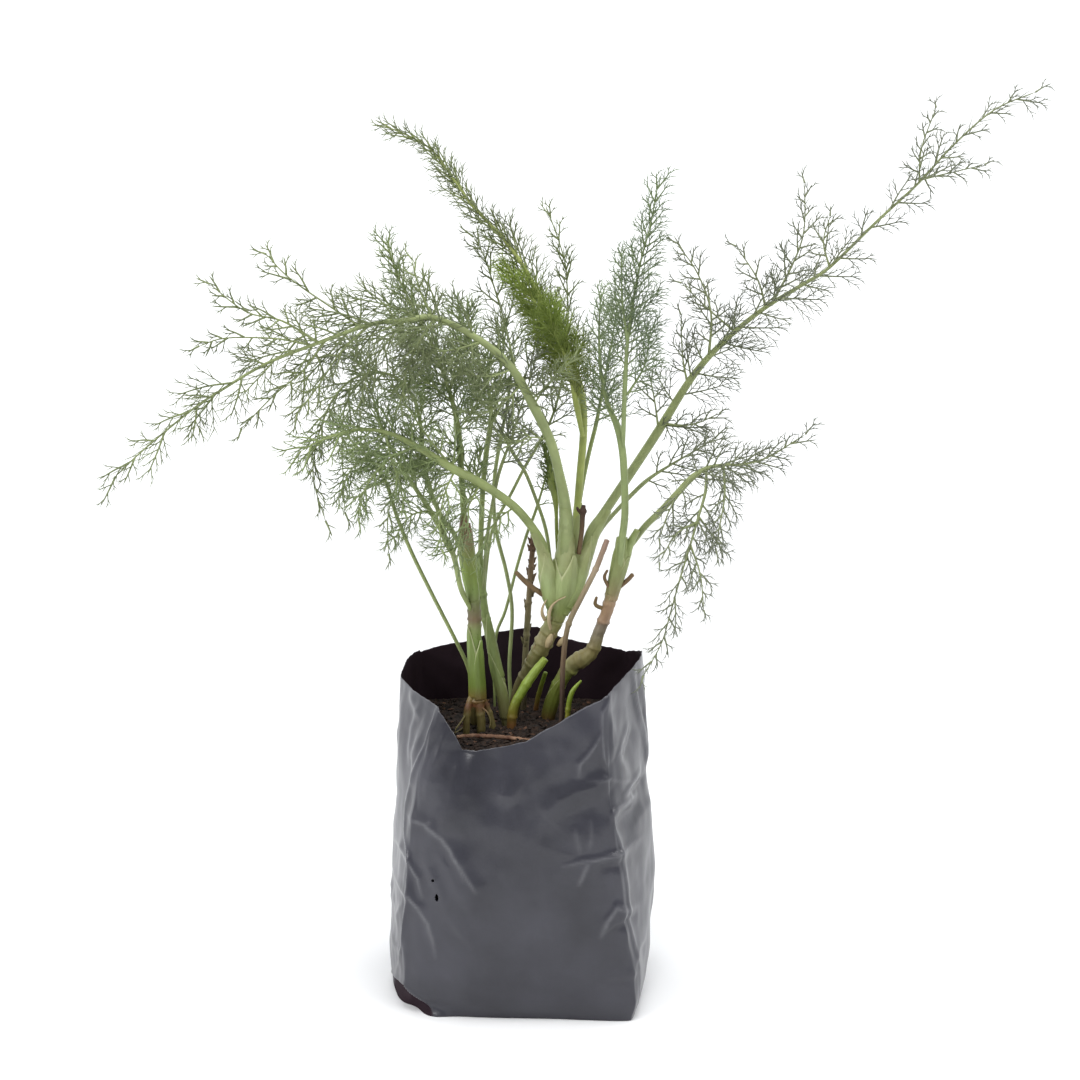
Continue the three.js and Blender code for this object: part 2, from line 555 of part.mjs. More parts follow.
function soilBody() {
  const rings = BAG_LOOPS.slice(0, -1).map((loop) => inset(bagLoopAt(loop[0][2]), FILM + SOIL_CLEAR));
  rings[0].forEach((p) => p.setZ(FILM + GAP));
  const rim = inset(bagLoopAt(SOIL_EDGE), FILM + SOIL_TOP_CLEAR);
  for (const share of SOIL_RINGS) {
    rings.push(rim.map((p) => {
      const x = p.x * share;
      const y = p.y * share;
      return new THREE.Vector3(x, y, soilHeight(x, y));
    }));
  }
  return solid(ringedGeometry(rings));
}

function twigRoute() {
  return TWIG.map(([x, y, radius]) => [x, y, soilHeight(x, y) + radius - TWIG_BEDDING, radius]);
}

// Seeded draw between 0 and 1, the same for the same whole numbers
function draw(...keys) {
  let state = 2166136261;
  for (const key of keys) {
    state = Math.imul(state ^ key, 16777619) >>> 0;
  }
  state = (Math.imul(state ^ (state >>> 15), 2246822519)) >>> 0;
  state = (Math.imul(state ^ (state >>> 13), 3266489917)) >>> 0;
  return ((state ^ (state >>> 16)) >>> 0) / 4294967296;
}

// Radius along a leaf's rib: even up to the blade, then down to a thread. The foot is slimmer
// where it stands in its sheath, and a stalk may swell above it or bulge where it is folded.
function ribRadius(rib) {
  const last = rib.route.length - 1;
  const from = rib.from ?? 0;
  return (t) => {
    const place = t * last;
    const blade = Math.max(0, (place - from) / (last - from));
    const even = THREAD_TIP + (rib.thick - THREAD_TIP) * (1 - blade) ** 0.9;
    const rise = rib.from ? Math.min(1, place / FOOT.length) : 1;
    const foot = FOOT.share + (1 - FOOT.share) * rise;
    const swell = (rib.swell ?? 0) * Math.max(0, 1 - Math.abs(place - SWELL.at) / SWELL.fade);
    const bulge = (rib.bulge ?? 0) * Math.max(0, 1 - Math.abs(place - BULGE.at) / BULGE.fade);
    return even * foot + swell + bulge;
  };
}

function stalkSolid(rib, widen = 0) {
  const steps = Math.round((rib.route.length - 1) * STALK_RINGS);
  return stalk(rib.route, ribRadius(rib), STALK_SIDES, steps, widen);
}

// What later pinnae keep clear of: short straight pieces of every rib, with their owner
const taken = [];

function take(owner, a, b, radius) {
  taken.push({ owner, a, b, radius });
}

function takeRib(owner, route, radiusAt) {
  const curve = new THREE.CatmullRomCurve3(vectors(route), false, "catmullrom", 0.5);
  const steps = (route.length - 1) * TAKEN_PER_STRETCH;
  for (let i = 0; i < steps; i += 1) {
    const a = curve.getPoint(i / steps);
    const b = curve.getPoint((i + 1) / steps);
    take(owner, a, b, Math.max(radiusAt(i / steps), radiusAt((i + 1) / steps)));
  }
}

// Smallest distance between two straight pieces
function between(p, q, r, s) {
  const first = q.clone().sub(p);
  const second = s.clone().sub(r);
  const offset = p.clone().sub(r);
  const a = first.lengthSq();
  const b = first.dot(second);
  const c = second.lengthSq();
  const d = first.dot(offset);
  const e = second.dot(offset);
  const spread = a * c - b * b;
  let along = spread > 1e-9 ? THREE.MathUtils.clamp((b * e - c * d) / spread, 0, 1) : 0;
  const other = THREE.MathUtils.clamp((b * along + e) / c, 0, 1);
  along = THREE.MathUtils.clamp((b * other - d) / a, 0, 1);
  return p.clone().addScaledVector(first, along).distanceTo(r.clone().addScaledVector(second, other));
}

function isClear(owner, a, b, radius) {
  return taken.every((piece) => piece.owner === owner
    || Math.abs(piece.a.x - a.x) > FAR_APART
    || between(a, b, piece.a, piece.b) > radius + piece.radius + BLADE_CLEAR);
}

// A seeded value between two limits
function drawn([low, high], ...keys) {
  return THREE.MathUtils.lerp(low, high, draw(...keys));
}

// Direction turned away from the rib by an angle, on the side that a roll round the rib gives
function turned(along, across, angle, roll) {
  const beside = along.clone().cross(across).normalize();
  const side = across.clone().multiplyScalar(Math.cos(roll)).addScaledVector(beside, Math.sin(roll));
  return along.clone().multiplyScalar(Math.cos(angle)).addScaledVector(side, Math.sin(angle));
}

// A slim three-sided core with threads raised from its faces, three round it at each station
function spray(owner, route, radiusAt, stations, reach, keys) {
  const curve = new THREE.CatmullRomCurve3(route, false, "catmullrom", 0.5);
  const half = STATION / 2 / curve.getLength();
  const shares = [0, ...stations.flatMap((s) => [s - half, s + half])];
  const positions = [];
  const faces = [];
  const add = (p) => positions.push(p.x, p.y, p.z) / 3 - 1;
  const frameAt = (share) => {
    const along = curve.getTangentAt(share).normalize();
    const first = along.clone().cross(FACING).normalize();
    return { centre: curve.getPointAt(share), along, first, second: along.clone().cross(first) };
  };
  const twist = (ring) => (Math.ceil(ring / 2) * Math.PI) / 3;
  const around = (frame, angle) => frame.first.clone().multiplyScalar(Math.cos(angle))
    .addScaledVector(frame.second, Math.sin(angle));
  shares.forEach((share, ring) => {
    const frame = frameAt(share);
    for (let j = 0; j < 3; j += 1) {
      const angle = twist(ring) + (j * 2 * Math.PI) / 3;
      const radius = radiusAt(curve.getUtoTmapping(share));
      add(frame.centre.clone().addScaledVector(around(frame, angle), radius));
    }
  });
  for (let ring = 0; ring + 1 < shares.length; ring += 1) {
    for (let j = 0; j < 3; j += 1) {
      const a = ring * 3 + j;
      const b = ring * 3 + ((j + 1) % 3);
      const quad = [a, b, b + 3, a + 3];
      const frame = frameAt((shares[ring] + shares[ring + 1]) / 2);
      const outward = around(frame, twist(ring) + ((j + 0.5) * 2 * Math.PI) / 3);
      const degrees = THREAD_ANGLE + THREAD_STRAY * (draw(...keys, ring, j) - 0.5);
      const slant = THREE.MathUtils.degToRad(degrees);
      const way = frame.along.clone().multiplyScalar(Math.cos(slant))
        .addScaledVector(outward, Math.sin(slant));
      const length = reach * THREE.MathUtils.lerp(...THREAD_SHORTENING, shares[ring])
        * drawn(THREAD_LENGTH, ...keys, ring, j + 3);
      const tip = frame.centre.clone().addScaledVector(way, length);
      if (ring % 2 === 1 && isClear(owner, frame.centre, tip, THREAD_RADIUS)) {
        take(owner, frame.centre, tip, THREAD_RADIUS);
        const peak = add(tip);
        quad.forEach((corner, k) => faces.push(corner, quad[(k + 1) % 4], peak));
      } else {
        faces.push(a, b, a + 3, b, b + 3, a + 3);
      }
    }
  }
  const top = add(curve.getPointAt(1));
  const last = (shares.length - 1) * 3;
  for (let j = 0; j < 3; j += 1) {
    faces.push(last + j, last + ((j + 1) % 3), top);
  }
  faces.push(0, 2, 1);
  const geometry = new THREE.BufferGeometry();
  geometry.setAttribute("position", new THREE.Float32BufferAttribute(positions, 3));
  geometry.setIndex(faces);
  return solid(geometry);
}

// Route of a pinna: a root inside the rib, a middle and a tip that sags a little
function pinnaRoute(curve, place, side, rib, keys, turn, shrink) {
  const last = rib.route.length - 1;
  const share = (place - rib.from) / (last - rib.from);
  const root = curve.getPoint(place / last);
  const along = curve.getTangent(place / last).normalize();
  const across = along.clone().cross(FACING).normalize();
  const spread = THREE.MathUtils.lerp(...PINNA_ANGLE, share) + PINNA_STRAY * (draw(...keys, 1) - 0.5);
  const angle = THREE.MathUtils.degToRad(spread) * (rib.lean ?? 1);
  const stray = THREE.MathUtils.degToRad(turn + PINNA_ROLL * (draw(...keys, 2) - 0.5));
  const roll = (side > 0 ? 0 : Math.PI) + stray;
  const ease = 1 - PINNA_SHORTENING * share ** 1.2;
  const length = rib.reach * ease * drawn(PINNA_LENGTH, ...keys, 3) * shrink;
  const way = turned(along, across, angle, roll);
  const middle = root.clone().addScaledVector(way, length / 2);
  const tip = root.clone().addScaledVector(way, length).addScaledVector(along, length * PINNA_LEAN);
  middle.z -= (PINNA_SAG * length) / 4;
  tip.z -= PINNA_SAG * length;
  return [root, middle, tip];
}

// A pinna with its threads, turned or shortened until it is clear of the other leaves, or none
function pinna(owner, curve, place, side, rib, keys) {
  for (const shrink of SHRINKS) {
    for (const turn of TURNS) {
      const route = pinnaRoute(curve, place, side, rib, keys, turn, shrink);
      const [root, middle, tip] = route;
      if (isClear(owner, root, middle, PINNA_RADIUS) && isClear(owner, middle, tip, PINNA_RADIUS)) {
        take(owner, root, middle, PINNA_RADIUS);
        take(owner, middle, tip, PINNA_RADIUS * 0.7);
        const taper = (t) => PINNA_RADIUS * (1 - PINNA_TAPER * t);
        const length = root.distanceTo(tip);
        const stations = length > LONG_PINNA ? LONG_STATIONS : SHORT_STATIONS;
        return [spray(owner, route, taper, stations, length * THREAD_SHARE, keys)];
      }
    }
  }
  return [];
}

// An arm is a long core with threads of its own
function arm(owner, rib, keys) {
  const stations = [];
  for (let k = 0; k < rib.pairs; k += 1) {
    stations.push(ARM_STATIONS.start + (ARM_STATIONS.span * (k + ARM_STATIONS.offset)) / rib.pairs);
  }
  return spray(owner, vectors(rib.route), ribRadius(rib), stations, rib.reach * ARM_THREAD_SHARE, keys);
}

// The arms of a leaf, and pairs of pinnae on every other rib from where its blade starts
function bladePieces(leaf) {
  const pieces = [];
  leaf.ribs.forEach((rib, r) => {
    if (!rib.from) {
      pieces.push(arm(leaf.name, rib, [leaf.seed, r]));
      return;
    }
    const curve = new THREE.CatmullRomCurve3(vectors(rib.route), false, "catmullrom", 0.5);
    const last = rib.route.length - 1;
    for (let k = 0; k < rib.pairs; k += 1) {
      for (const side of [1, -1]) {
        const stagger = side > 0 ? PAIR_STAGGER[0] : PAIR_STAGGER[1];
        const place = rib.from + ((last - rib.from) * (k + stagger)) / rib.pairs;
        pieces.push(...pinna(leaf.name, curve, place, side, rib, [leaf.seed, r, k, side + 1]));
      }
    }
  });
  return pieces;
}

// True where two corners of a solid nearly coincide, so that a saved mesh could not keep them apart
function hasTwinCorners(shape) {
  const places = shape.getMesh().vertProperties;
  const corners = [];
  for (let i = 0; i < places.length; i += 3) {
    corners.push(places.slice(i, i + 3));
  }
  corners.sort((a, b) => a[0] - b[0]);
  return corners.some((a, i) => {
    for (let j = i + 1; j < corners.length && corners[j][0] - a[0] < TWIN; j += 1) {
      if (Math.hypot(corners[j][0] - a[0], corners[j][1] - a[1], corners[j][2] - a[2]) < TWIN) {
        return true;
      }
    }
    return false;
  });
}

// Joins a piece to a body, nudged by up to a quarter of a millimetre where their corners would
// meet. What none of the offsets frees is left off.
function joined(body, piece) {
  for (const [x, y, z] of NUDGES) {
    const whole = body.add(piece.translate([x, y, z])).simplify(SLIVER);
    if (!hasTwinCorners(whole)) {
      return whole;
    }
  }
  return body;
}

function leafBody(leaf) {
  const stalks = leaf.ribs.filter((rib) => rib.from).map((rib) => stalkSolid(rib));
  return bladePieces(leaf).reduce(joined, stalks.reduce(joined));
}

// Everything that stands in the soil. Leaf feet stand in pockets cut in the stems.
const stems = {
  left_stem: { ribs: LEFT_STEM, material: STEM_GREEN },
  left_second_stem: { ribs: LEFT_SECOND_STEM, material: STEM_GREEN },
  middle_stem: { ribs: MIDDLE_STEM, material: STEM_GREEN },
  right_stem: { ribs: RIGHT_STEM, material: STEM_GREEN },
  old_stem: { ribs: OLD_STEM, material: DRY_BROWN },
  cut_stalk: { ribs: CUT_STALK, material: DRY_BROWN },
  lime_shoot: { ribs: LIME_SHOOT, material: LIME_GREEN },
  back_shoot: { ribs: BACK_SHOOT, material: LIME_GREEN },
  small_sprout: { ribs: SMALL_SPROUT, material: LIME_GREEN },
  dry_twig: { ribs: [twigRoute()], material: DRY_BROWN },
};

for (const [name, stem] of Object.entries(stems)) {
  for (const points of stem.ribs) {
    takeRib(name, points, radiusFromPoints(points));
  }
}
for (const leaf of LEAVES) {
  for (const rib of leaf.ribs) {
    takeRib(leaf.name, rib.route, ribRadius(rib));
  }
}
const rimLoop = bagColumns.map((column) => column[column.length - 1]);
rimLoop.forEach((p, j) => take("grow_bag", p, rimLoop[(j + 1) % rimLoop.length], RIM_CLEAR));

const leafMeshes = LEAVES.map((leaf) => (
  namedMesh(leaf.name, leafBody(leaf), leaf.young ? YOUNG_GREEN : FROND_GREEN)));
const leafPockets = wasm.Manifold.union(LEAVES.map((leaf) => stalkSolid(leaf.ribs[0], GAP)));
const stemMeshes = Object.entries(stems).map(([name, stem]) => (
  namedMesh(name, stemSolid(stem.ribs).subtract(leafPockets), stem.material)));
const stemHoles = wasm.Manifold.union(Object.values(stems).map((stem) => stemSolid(stem.ribs, GAP)));
const soil = soilBody().subtract(leafPockets.add(stemHoles));

const pottedFennel = new THREE.Group();
pottedFennel.name = "potted_fennel";
pottedFennel.add(namedMesh("grow_bag", growBag(), FILM_BLACK));
pottedFennel.add(namedMesh("potting_soil", soil, SOIL_BROWN));
pottedFennel.add(...stemMeshes);
pottedFennel.add(...leafMeshes);

export default pottedFennel;
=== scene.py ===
# %% [markdown]
# # Potted fennel in a grow bag
# The plant stands in a thin black film bag full of potting mix. Its leaves are cut into
# hundreds of soft green threads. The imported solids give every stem, leaf and the bag a place,
# and this lesson dresses each of them in a finer piece on the same route.

# %% Load the frame
import math

import bpy
import numpy as np
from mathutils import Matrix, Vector, noise


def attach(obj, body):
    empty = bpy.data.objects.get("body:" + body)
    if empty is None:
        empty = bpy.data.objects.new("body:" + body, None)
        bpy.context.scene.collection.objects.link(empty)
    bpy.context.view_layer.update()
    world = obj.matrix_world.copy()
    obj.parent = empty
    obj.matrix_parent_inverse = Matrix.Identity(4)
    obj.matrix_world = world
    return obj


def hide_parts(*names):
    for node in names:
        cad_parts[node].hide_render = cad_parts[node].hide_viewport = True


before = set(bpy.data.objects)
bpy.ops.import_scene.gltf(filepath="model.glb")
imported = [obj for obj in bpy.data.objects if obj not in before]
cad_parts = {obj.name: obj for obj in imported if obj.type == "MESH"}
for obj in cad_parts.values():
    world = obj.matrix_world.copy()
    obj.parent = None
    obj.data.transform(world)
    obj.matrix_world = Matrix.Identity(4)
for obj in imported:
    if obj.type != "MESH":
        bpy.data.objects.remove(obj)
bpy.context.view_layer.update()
print("frame loaded:", len(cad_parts), "nodes")

# %% [markdown]
# A scene is measured in metres, and a plant this size is easier to read in millimetres. All
# routes below are in millimetres and are multiplied by MM where a mesh is made.

# %% Sizes
MM = 0.001

# %% [markdown]
# The camera stands 1.3 m off and looks down at 15 degrees, with a long lens, so that the bag's
# sides stay nearly upright and one can look over the front rim onto the soil.

# %% Camera
CAMERA_PLACE = (0.0094, -1.2557, 0.5835)
CAMERA_LENS = 83.33
LOOKS_DOWN = 15
camera_data = bpy.data.cameras.new("camera")
camera_data.sensor_width = 36
camera_data.lens = CAMERA_LENS
camera_data.clip_end = 60
camera = bpy.data.objects.new("camera", camera_data)
camera.location = CAMERA_PLACE
camera.rotation_euler = (math.radians(90 - LOOKS_DOWN), 0, 0)
bpy.context.collection.objects.link(camera)
bpy.context.scene.camera = camera
print("camera at", CAMERA_PLACE)

# %% [markdown]
# The studio's light and every finish are small trees of nodes. They could be wired by hand in
# the node editor. Here one helper adds a node with its values and one draws the links, so that a
# tree reads as a list and can be built again.

# %% Node helpers
def add_node(tree, kind, place, inputs=None, **settings):
    """A node at a place in the tree, with its settings and the values of its sockets."""
    node = tree.nodes.new(kind)
    node.location = place
    for key, value in settings.items():
        setattr(node, key, value)
    for socket, value in (inputs or {}).items():
        node.inputs[socket].default_value = value
    return node


def wire(tree, *links):
    """Links, each as a node with its output and a node with its input."""
    for source, output, target, socket in links:
        tree.links.new(source.outputs[output], target.inputs[socket])

# %% [markdown]
# The studio is white behind the plant and dimmer in front of it. Thin dark threads only read
# well against a bright ground, while black film shows its creases only where it mirrors a lamp
# out of a dim room. So two lamps stand low at the sides and two beside the viewer.

# %% World and lamps
bpy.context.scene.view_settings.view_transform = "Standard"
world = bpy.data.worlds.new("studio")
bpy.context.scene.world = world
world.use_nodes = True
sky = world.node_tree.nodes["Background"]
sky.inputs["Color"].default_value = (0.97, 0.985, 1.0, 1)
way = add_node(world.node_tree, "ShaderNodeTexCoord", (-600, 300))
split = add_node(world.node_tree, "ShaderNodeSeparateXYZ", (-400, 300))
bright = add_node(world.node_tree, "ShaderNodeMapRange", (-200, 300),
                  {"From Min": -0.45, "From Max": 0.35, "To Min": 0.4, "To Max": 1.35})
wire(world.node_tree, (way, "Generated", split, 0), (split, "Y", bright, "Value"),
     (bright, 0, sky, "Strength"))

# name, place, height it aims at, size in metres, watts
LAMPS = [
    ("top_lamp", (0.1, -0.4, 1.9), 0.2, 0.8, 18),
    ("left_lamp", (-1.5, -0.7, 0.7), 0.12, 0.35, 10),
    ("right_lamp", (1.5, -0.3, 0.7), 0.12, 0.35, 4),
    ("front_left_lamp", (-0.9, -1.2, 1.0), 0.2, 0.3, 4),
    ("front_right_lamp", (1.1, -1.0, 1.0), 0.2, 0.25, 2.5),
]
for name, place, aim, size, power in LAMPS:
    data = bpy.data.lights.new(name, "AREA")
    data.shape = "SQUARE"
    data.size = size
    data.energy = power
    lamp = bpy.data.objects.new(name, data)
    lamp.location = place
    lamp.rotation_euler = (Vector((0, 0, aim)) - Vector(place)).to_track_quat("-Z", "Y").to_euler()
    bpy.context.collection.objects.link(lamp)
print("lamps:", len(LAMPS))

# %% [markdown]
# ## Hands and tools
# Every piece is worked out as rows of points and corners in numpy, which is quick enough for
# tens of thousands of threads, where one object for each thread would take minutes. One helper
# turns them into a mesh object.

# %% From points to a piece
def make_piece(name, points, faces, finish, smooth=True, **marks):
    """Points in millimetres, a list of arrays of face corners, and a value per point for each mark."""
    faces = [np.asarray(f) for f in faces if len(f)]
    corners = np.concatenate([f.ravel() for f in faces]).astype(np.int32)
    sizes = np.concatenate([np.full(len(f), f.shape[1]) for f in faces])
    mesh = bpy.data.meshes.new(name)
    mesh.vertices.add(len(points))
    mesh.vertices.foreach_set("co", (np.asarray(points) * MM).astype(np.float32).ravel())
    mesh.loops.add(len(corners))
    mesh.loops.foreach_set("vertex_index", corners)
    mesh.polygons.add(len(sizes))
    mesh.polygons.foreach_set("loop_start", (np.cumsum(sizes) - sizes).astype(np.int32))
    for mark, values in marks.items():
        attribute = mesh.attributes.new(mark, "FLOAT", "POINT")
        attribute.data.foreach_set("value", np.asarray(values, np.float32))
    mesh.update(calc_edges=True)
    mesh.validate()
    mesh.polygons.foreach_set("use_smooth", np.full(len(mesh.polygons), smooth))
    mesh.materials.append(finish)
    piece = bpy.data.objects.new(name, mesh)
    bpy.context.collection.objects.link(piece)
    return piece


def dress(piece, slot, *nodes):
    """The piece stands for the solids and moves with the one body. The slot is not used."""
    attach(piece, "root")
    if nodes:
        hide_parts(*nodes)
    triangles = sum(len(p.vertices) - 2 for p in piece.data.polygons)
    print(f"{piece.name}: {triangles} triangles")

# %% [markdown]
# Stems and leaf ribs bend smoothly through the points of their routes. The curve leaves each
# point in the direction of its two neighbours and goes through every point, so a route can be
# read straight off the plant.

# %% Smooth lines
def unit(v):
    """Directions of length one."""
    return v / np.maximum(np.linalg.norm(v, axis=-1, keepdims=True), 1e-9)


def bend(a, b, leave, arrive, w):
    """The smooth way from a to b, with its slopes where it leaves and arrives, at a share w."""
    return (a * (2 * w**3 - 3 * w**2 + 1) + b * (3 * w**2 - 2 * w**3)
            + leave * (w**3 - 2 * w**2 + w) + arrive * (w**3 - w**2))


def smooth_line(route, steps):
    """Evenly numbered points on a smooth line through a route. Further columns bend along with it."""
    p = np.asarray(route, float)
    p = np.vstack([2 * p[0] - p[1], p, 2 * p[-1] - p[-2]])
    t = np.linspace(0, len(route) - 1, steps + 1)
    i = np.minimum(t.astype(int), len(route) - 2)
    a, b, c, d = p[i], p[i + 1], p[i + 2], p[i + 3]
    return bend(b, c, (c - a) / 2, (d - b) / 2, (t - i)[:, None])

# %% [markdown]
# A stalk, a root and a thread are all the same thing at another size: a round line that gets
# thinner. Curve objects with a bevel could make them too, but they can't be ribbed or marked
# point by point, and thousands of lines built at once with arrays take a fraction of a second.

# %% Round lines
def round_lines(lines, radii, sides):
    """Tapered tubes along N lines of K points, with a point at the far end.
    Radii are (N, K), or (N, K, sides) for a line that isn't round."""
    count, rows, _ = lines.shape
    if radii.ndim == 2:
        radii = np.repeat(radii[:, :, None], sides, axis=2)
    along = unit(np.gradient(lines, axis=1))
    upright = np.abs(along[:, 0, 2:3]) > 0.8
    normal = unit(np.cross(along[:, 0], np.where(upright, [[1.0, 0, 0]], [[0, 0, 1.0]])))
    turn = np.arange(sides) * 2 * math.pi / sides
    rings = np.empty((count, rows - 1, sides, 3))
    for k in range(rows - 1):
        normal = unit(normal - (normal * along[:, k]).sum(1, keepdims=True) * along[:, k])
        beside = np.cross(along[:, k], normal)
        spokes = (np.cos(turn)[None, :, None] * normal[:, None]
                  + np.sin(turn)[None, :, None] * beside[:, None])
        rings[:, k] = lines[:, k, None] + radii[:, k, :, None] * spokes
    per = (rows - 1) * sides + 1
    points = np.concatenate([rings.reshape(count, -1, 3), lines[:, -1:]], axis=1).reshape(-1, 3)
    start = (np.arange(count) * per)[:, None, None]
    k = (np.arange(rows - 2) * sides)[None, :, None]
    j = np.arange(sides)[None, None, :]
    j2 = (j + 1) % sides
    quads = np.stack([start + k + j, start + k + j2, start + k + sides + j2, start + k + sides + j],
                     axis=-1).reshape(-1, 4)
    last = start + (rows - 2) * sides
    tip = start + per - 1
    cones = np.stack(np.broadcast_arrays(last + j, last + j2, tip + 0 * j), axis=-1).reshape(-1, 3)
    feet = (start[:, 0] + np.arange(sides)[::-1][None, :]).reshape(-1, sides)
    return points, [quads, cones, feet]

# %% [markdown]
# Bag, soil and sheaths are lofts: rows of rings with a skin over them, which is how a soft hollow
# form is easiest to steer. Where a piece is made of several parts, gathering them keeps it one
# mesh.

# %% Lofts and gathering
def loft(rings, middles=None):
    """Closed skin over rows of rings. Its ends are flat, or fans to two middle points."""
    rings = np.asarray(rings, float)
    rows, columns = rings.shape[:2]
    points = rings.reshape(-1, 3)
    i = (np.arange(rows - 1) * columns)[:, None]
    j = np.arange(columns)[None, :]
    j2 = (j + 1) % columns
    walls = np.stack([i + j, i + j2, i + columns + j2, i + columns + j], -1).reshape(-1, 4)
    j, j2, top = j[0], j2[0], (rows - 1) * columns
    if middles is None:
        return points, [walls, j[::-1][None, :], top + j[None, :]]
    points = np.concatenate([points, middles])
    low, high = len(points) - 2, len(points) - 1
    return points, [walls, np.stack([j2, j, np.full(columns, low)], -1),
                    np.stack([top + j, top + j2, np.full(columns, high)], -1)]


def gather(parts):
    """Several pieces as one, each given as points, faces and, if it has them, marks per point."""
    points, faces, marks, base = [], [], [], 0
    for some_points, some_faces, *some_marks in parts:
        points.append(some_points)
        faces += [f + base for f in some_faces if len(f)]
        marks += some_marks
        base += len(some_points)
    joined = (np.concatenate(points), faces)
    return (*joined, np.concatenate(marks)) if marks else joined

# %% [markdown]
# ## Shared looks
# Real stems, film and soil are never one flat colour. Two small node groups carry what nearly
# all finishes share: a mottle between two tones, and a fine relief stretched one way.

# %% Groups and finishes
def new_group(name, inputs, outputs):
    """An empty node group. A tuple makes a colour socket, and a number a float socket."""
    tree = bpy.data.node_groups.new(name, "ShaderNodeTree")
    for label, value in inputs.items():
        kind = "NodeSocketColor" if isinstance(value, tuple) else "NodeSocketFloat"
        tree.interface.new_socket(label, in_out="INPUT", socket_type=kind).default_value = value
    for label, kind in outputs.items():
        tree.interface.new_socket(label, in_out="OUTPUT", socket_type="NodeSocket" + kind)
    return tree, add_node(tree, "NodeGroupInput", (-1000, 0)), add_node(tree, "NodeGroupOutput", (600, 0))


def use_group(tree, group, place, **values):
    """The group as a node. An underscore in a name stands for a space."""
    return add_node(tree, "ShaderNodeGroup", place,
                    {label.replace("_", " "): value for label, value in values.items()}, node_tree=group)


def new_finish(name, roughness):
    """A material with its Principled shader, ready for more nodes."""
    finish = bpy.data.materials.new(name)
    finish.use_nodes = True
    shader = finish.node_tree.nodes["Principled BSDF"]
    shader.inputs["Roughness"].default_value = roughness
    return finish, finish.node_tree, shader


def stretched_grain(group, given, size):
    """What a noise needs: object coordinates stretched along z, and a scale from a size in metres."""
    where = add_node(group, "ShaderNodeTexCoord", (-800, -300))
    squeeze = add_node(group, "ShaderNodeCombineXYZ", (-600, -150), {"X": 1, "Y": 1})
    spread = add_node(group, "ShaderNodeVectorMath", (-420, -200), operation="MULTIPLY")
    scale = add_node(group, "ShaderNodeMath", (-600, 60), {0: 1}, operation="DIVIDE")
    wire(group, (given, "Stretch", squeeze, "Z"), (where, "Object", spread, 0), (squeeze, 0, spread, 1),
         (given, size, scale, 1))
    return spread, scale

# %% Mottle
mottle, given, made = new_group(
    "mottle",
    {"Dark": (0, 0, 0, 1), "Light": (1, 1, 1, 1), "Patch size": 0.02, "Stretch": 1.0, "Contrast": 0.6},
    {"Color": "Color", "Mask": "Float"})
spread, scale = stretched_grain(mottle, given, "Patch size")
patches = add_node(mottle, "ShaderNodeTexNoise", (-240, -60), {"Detail": 4})
low = add_node(mottle, "ShaderNodeMath", (-240, 200), {1: 0.5, 2: 0}, operation="MULTIPLY_ADD")
high = add_node(mottle, "ShaderNodeMath", (-240, 380), {1: -0.5, 2: 1}, operation="MULTIPLY_ADD")
level = add_node(mottle, "ShaderNodeMapRange", (-40, -60))
blend = add_node(mottle, "ShaderNodeMix", (300, 0), data_type="RGBA")
wire(mottle, (spread, 0, patches, "Vector"), (scale, 0, patches, "Scale"), (given, "Contrast", low, 0),
     (given, "Contrast", high, 0), (patches, "Fac", level, "Value"), (low, 0, level, "From Min"),
     (high, 0, level, "From Max"), (level, 0, blend, 0), (given, "Dark", blend, 6),
     (given, "Light", blend, 7), (blend, 2, made, "Color"), (level, 0, made, "Mask"))

# %% [markdown]
# Skin, film and soil are all a little rough. The relief mixes a fine noise with a coarser one of
# the same grain, and stretched along z it reads as the fine ribs of a stalk.

# %% Fine relief
fine_relief, given, made = new_group(
    "fine_relief", {"Grain size": 0.001, "Stretch": 1.0, "Coarse share": 0.4}, {"Height": "Float"})
spread, scale = stretched_grain(fine_relief, given, "Grain size")
wide = add_node(fine_relief, "ShaderNodeMath", (-420, 200), {1: 0.15}, operation="MULTIPLY")
fine = add_node(fine_relief, "ShaderNodeTexNoise", (-200, -100))
coarse = add_node(fine_relief, "ShaderNodeTexNoise", (-200, 200))
blend = add_node(fine_relief, "ShaderNodeMix", (200, 0))
wire(fine_relief, (scale, 0, wide, 0), (spread, 0, fine, "Vector"), (scale, 0, fine, "Scale"),
     (spread, 0, coarse, "Vector"), (wide, 0, coarse, "Scale"), (given, "Coarse share", blend, "Factor"),
     (fine, "Fac", blend, "A"), (coarse, "Fac", blend, "B"), (blend, "Result", made, "Height"))
print("node groups:", [g.name for g in bpy.data.node_groups])


def add_relief(tree, shader, grain, depth, stretch=1.0, coarse=0.4):
    """Bump from the fine relief group: its depth in metres is the height of its grain."""
    relief = use_group(tree, fine_relief, (-500, -300), Grain_size=grain, Stretch=stretch,
                       Coarse_share=coarse)
    bump = add_node(tree, "ShaderNodeBump", (-250, -300), {"Strength": 1, "Distance": depth})
    wire(tree, (relief, "Height", bump, "Height"), (bump, "Normal", shader, "Normal"))


def mottled_finish(name, roughness, dark, light, patch, contrast, *relief):
    """A material with two tones in patches over a fine relief."""
    finish, tree, shader = new_finish(name, roughness)
    tone = use_group(tree, mottle, (-700, 200), Dark=(*dark, 1), Light=(*light, 1), Patch_size=patch,
                     Contrast=contrast)
    wire(tree, (tone, "Color", shader, "Base Color"))
    add_relief(tree, shader, *relief)
    return finish
